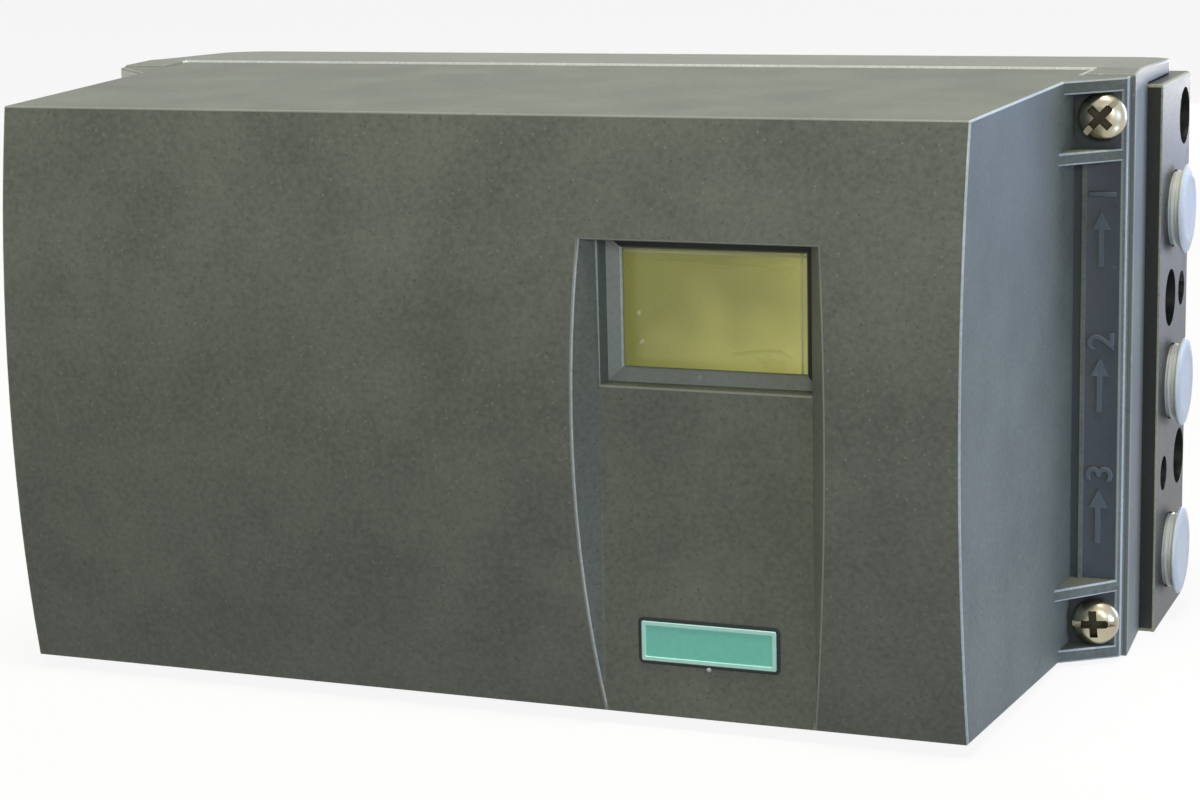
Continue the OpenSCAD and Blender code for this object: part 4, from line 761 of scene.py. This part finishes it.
def displayCell(s):
    (columns, rows), (wide, high), (midX, midZ) = s["cells"], s["size"], s["middle"]
    work = bmesh.new()
    grid = []
    for row in range(rows + 1):
        line = []
        for column in range(columns + 1):
            x, z = wide * (column / columns - 0.5), high * (row / rows - 0.5)
            # flat at the cell's rim
            fade = min(1.0, 4 * min(column, columns - column) / columns, 4 * min(row, rows - row) / rows)
            y = s["front"] - filmLift(s, x, z) * fade
            line.append(work.verts.new(((midX + x) * mm, y * mm, (midZ + z) * mm)))
        grid.append(line)
    for low, top in zip(grid, grid[1:]):
        for i in range(columns):
            face = work.faces.new((low[i], low[i + 1], top[i + 1], top[i]))
            face.smooth = True
            spot = face.calc_center_median() / mm
            face.material_index = 1 if whitened(s, spot.x - midX, spot.z - midZ) else 0
    rim = grid[0] + [line[-1] for line in grid[1:]] + grid[-1][-2::-1] + [line[0] for line in grid[-2:0:-1]]
    back = [work.verts.new((v.co.x, (s["front"] + s["thick"]) * mm, v.co.z)) for v in rim]
    for i in range(len(rim)):
        j = (i + 1) % len(rim)
        work.faces.new((rim[j], rim[i], back[i], back[j]))
    work.faces.new(back)
    mesh = bpy.data.meshes.new("displayCell")
    work.to_mesh(mesh)
    work.free()
    return mesh


displayPiece = addPiece("displayCell", displayCell(displaySettings), ["oliveDisplay", "paleFilmHighlight"], "housing")
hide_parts("display_glass")
print("display laid")

# bare plate on the recess floor: a dark pad as painted shadow round it, a pale raised border, a teal field and a
# locating pip below, painted pale as a highlight
plateSettings = {"middle": (9.9, -34.52), "size": (21.8, 6.3), "corner": 0.3, "floor": -101.0, "pad": 0.55,
                 "padRise": 0.2, "border": 0.7, "rise": 0.42, "sink": 0.14, "pip": (9.9, -38.35), "pipRadius": 0.4}


def roundedLoop(work, s, grow, y):
    wide, high, corner = s["size"][0] / 2 + grow, s["size"][1] / 2 + grow, max(0.15, s["corner"] + grow)
    loop = []
    for turn, (i, k) in enumerate(((1, 1), (-1, 1), (-1, -1), (1, -1))):
        for step in range(5):
            a = math.pi / 2 * (turn + step / 4)
            x = s["middle"][0] + i * (wide - corner) + corner * math.cos(a)
            z = s["middle"][1] + k * (high - corner) + corner * math.sin(a)
            loop.append(work.verts.new((x * mm, y * mm, z * mm)))
    return loop


def barePlate(s):
    floor, pad, top, border = s["floor"], s["floor"] - s["padRise"], s["floor"] - s["rise"], s["border"]
    work = bmesh.new()
    # loops from the pad's foot to the teal field: how far each lies outside the plate, its depth and its finish
    stations = [(s["pad"], floor + 0.05, 2), (s["pad"], pad + 0.06, 2), (s["pad"] - 0.12, pad, 2), (0, pad, 2),
                (0, top + 0.1, 1), (-0.1, top, 1), (0.1 - border, top, 1), (-border, top + s["sink"], 1),
                (-border - 0.12, top + s["sink"], 0)]
    loops = [roundedLoop(work, s, grow, y) for grow, y, kind in stations]
    for low, high, (grow, y, kind) in zip(loops, loops[1:], stations[1:]):
        for i in range(len(low)):
            j = (i + 1) % len(low)
            work.faces.new((low[i], low[j], high[j], high[i])).material_index = kind
    work.faces.new(loops[-1]).material_index = 0
    work.faces.new(loops[0]).material_index = 2
    place = Matrix.Translation((s["pip"][0] * mm, (floor - 0.1) * mm, s["pip"][1] * mm))
    pip = bmesh.ops.create_uvsphere(work, u_segments=14, v_segments=9, radius=s["pipRadius"] * mm,
                                    matrix=place @ Matrix.Diagonal((1, 0.9, 1, 1)))
    # the pip takes a painted highlight
    for face in {face for v in pip["verts"] for face in v.link_faces}:
        face.material_index = 3
    bmesh.ops.recalc_face_normals(work, faces=work.faces)
    mesh = bpy.data.meshes.new("barePlate")
    work.to_mesh(mesh)
    work.free()
    softEdges(mesh, 30)
    return mesh


plate = addPiece("barePlate", barePlate(plateSettings), ["tealEnamel", "paleEnamel", "plateShadowPad", "brightEdgeHighlight"],
                 "cover")
print("plate set")

# raised port marks on the right flange, from bottom to top: an arrow and a plain numeral
markSettings = {"heights": (22.0, -2.0, -24.0), "baseline": 60.6, "face": -45.5, "rise": 0.42, "tall": 4.3, "em": 1.42,
                "bevel": 0.08, "gap": 1.2, "arrow": 9.0, "stem": 0.45, "barb": 1.5, "point": 3.0}


def portMark(s, count, height):
    # drawn flat, then turned to read upwards on the flange
    letter = bpy.data.curves.new("mark", "FONT")
    letter.body, letter.size, letter.extrude = str(count), s["tall"] * s["em"] * mm, s["rise"] * mm
    letter.bevel_depth, letter.bevel_resolution = s["bevel"] * mm, 1
    maker = bpy.data.objects.new("mark", letter)
    scene.collection.objects.link(maker)
    mesh = evaluated(maker)
    mesh.transform(Matrix.Translation((s["arrow"] * mm / 2 + s["gap"] * mm, 0, 0)))
    work = bmesh.new()
    work.from_mesh(mesh)
    half, mid, stem, barb = s["arrow"] / 2, s["tall"] / 2, s["stem"], s["barb"]
    neck = half - s["point"]
    outline = [(-half, mid - stem), (neck, mid - stem), (neck, mid - barb), (half, mid), (neck, mid + barb),
               (neck, mid + stem), (-half, mid + stem)]
    low = [work.verts.new((x * mm, y * mm, -s["rise"] * mm)) for x, y in outline]
    high = [work.verts.new((x * mm, y * mm, s["rise"] * mm)) for x, y in outline]
    work.faces.new(low[::-1])
    work.faces.new(high)
    for i in range(len(low)):
        j = (i + 1) % len(low)
        work.faces.new((low[i], low[j], high[j], high[i]))
    work.to_mesh(mesh)
    work.free()
    upright = Matrix(((0, -1, 0, s["baseline"] * mm), (0, 0, -1, s["face"] * mm), (1, 0, 0, height * mm), (0, 0, 0, 1)))
    mesh.transform(upright)
    return mesh


def portMarks(s):
    work = bmesh.new()
    for count, height in enumerate(s["heights"], 1):
        work.from_mesh(portMark(s, count, height))
    mesh = bpy.data.meshes.new("portMarks")
    work.to_mesh(mesh)
    work.free()
    return mesh


marks = addPiece("portMarks", portMarks(markSettings), ["markHighlightPolycarbonate"], "cover")
print("marks raised")
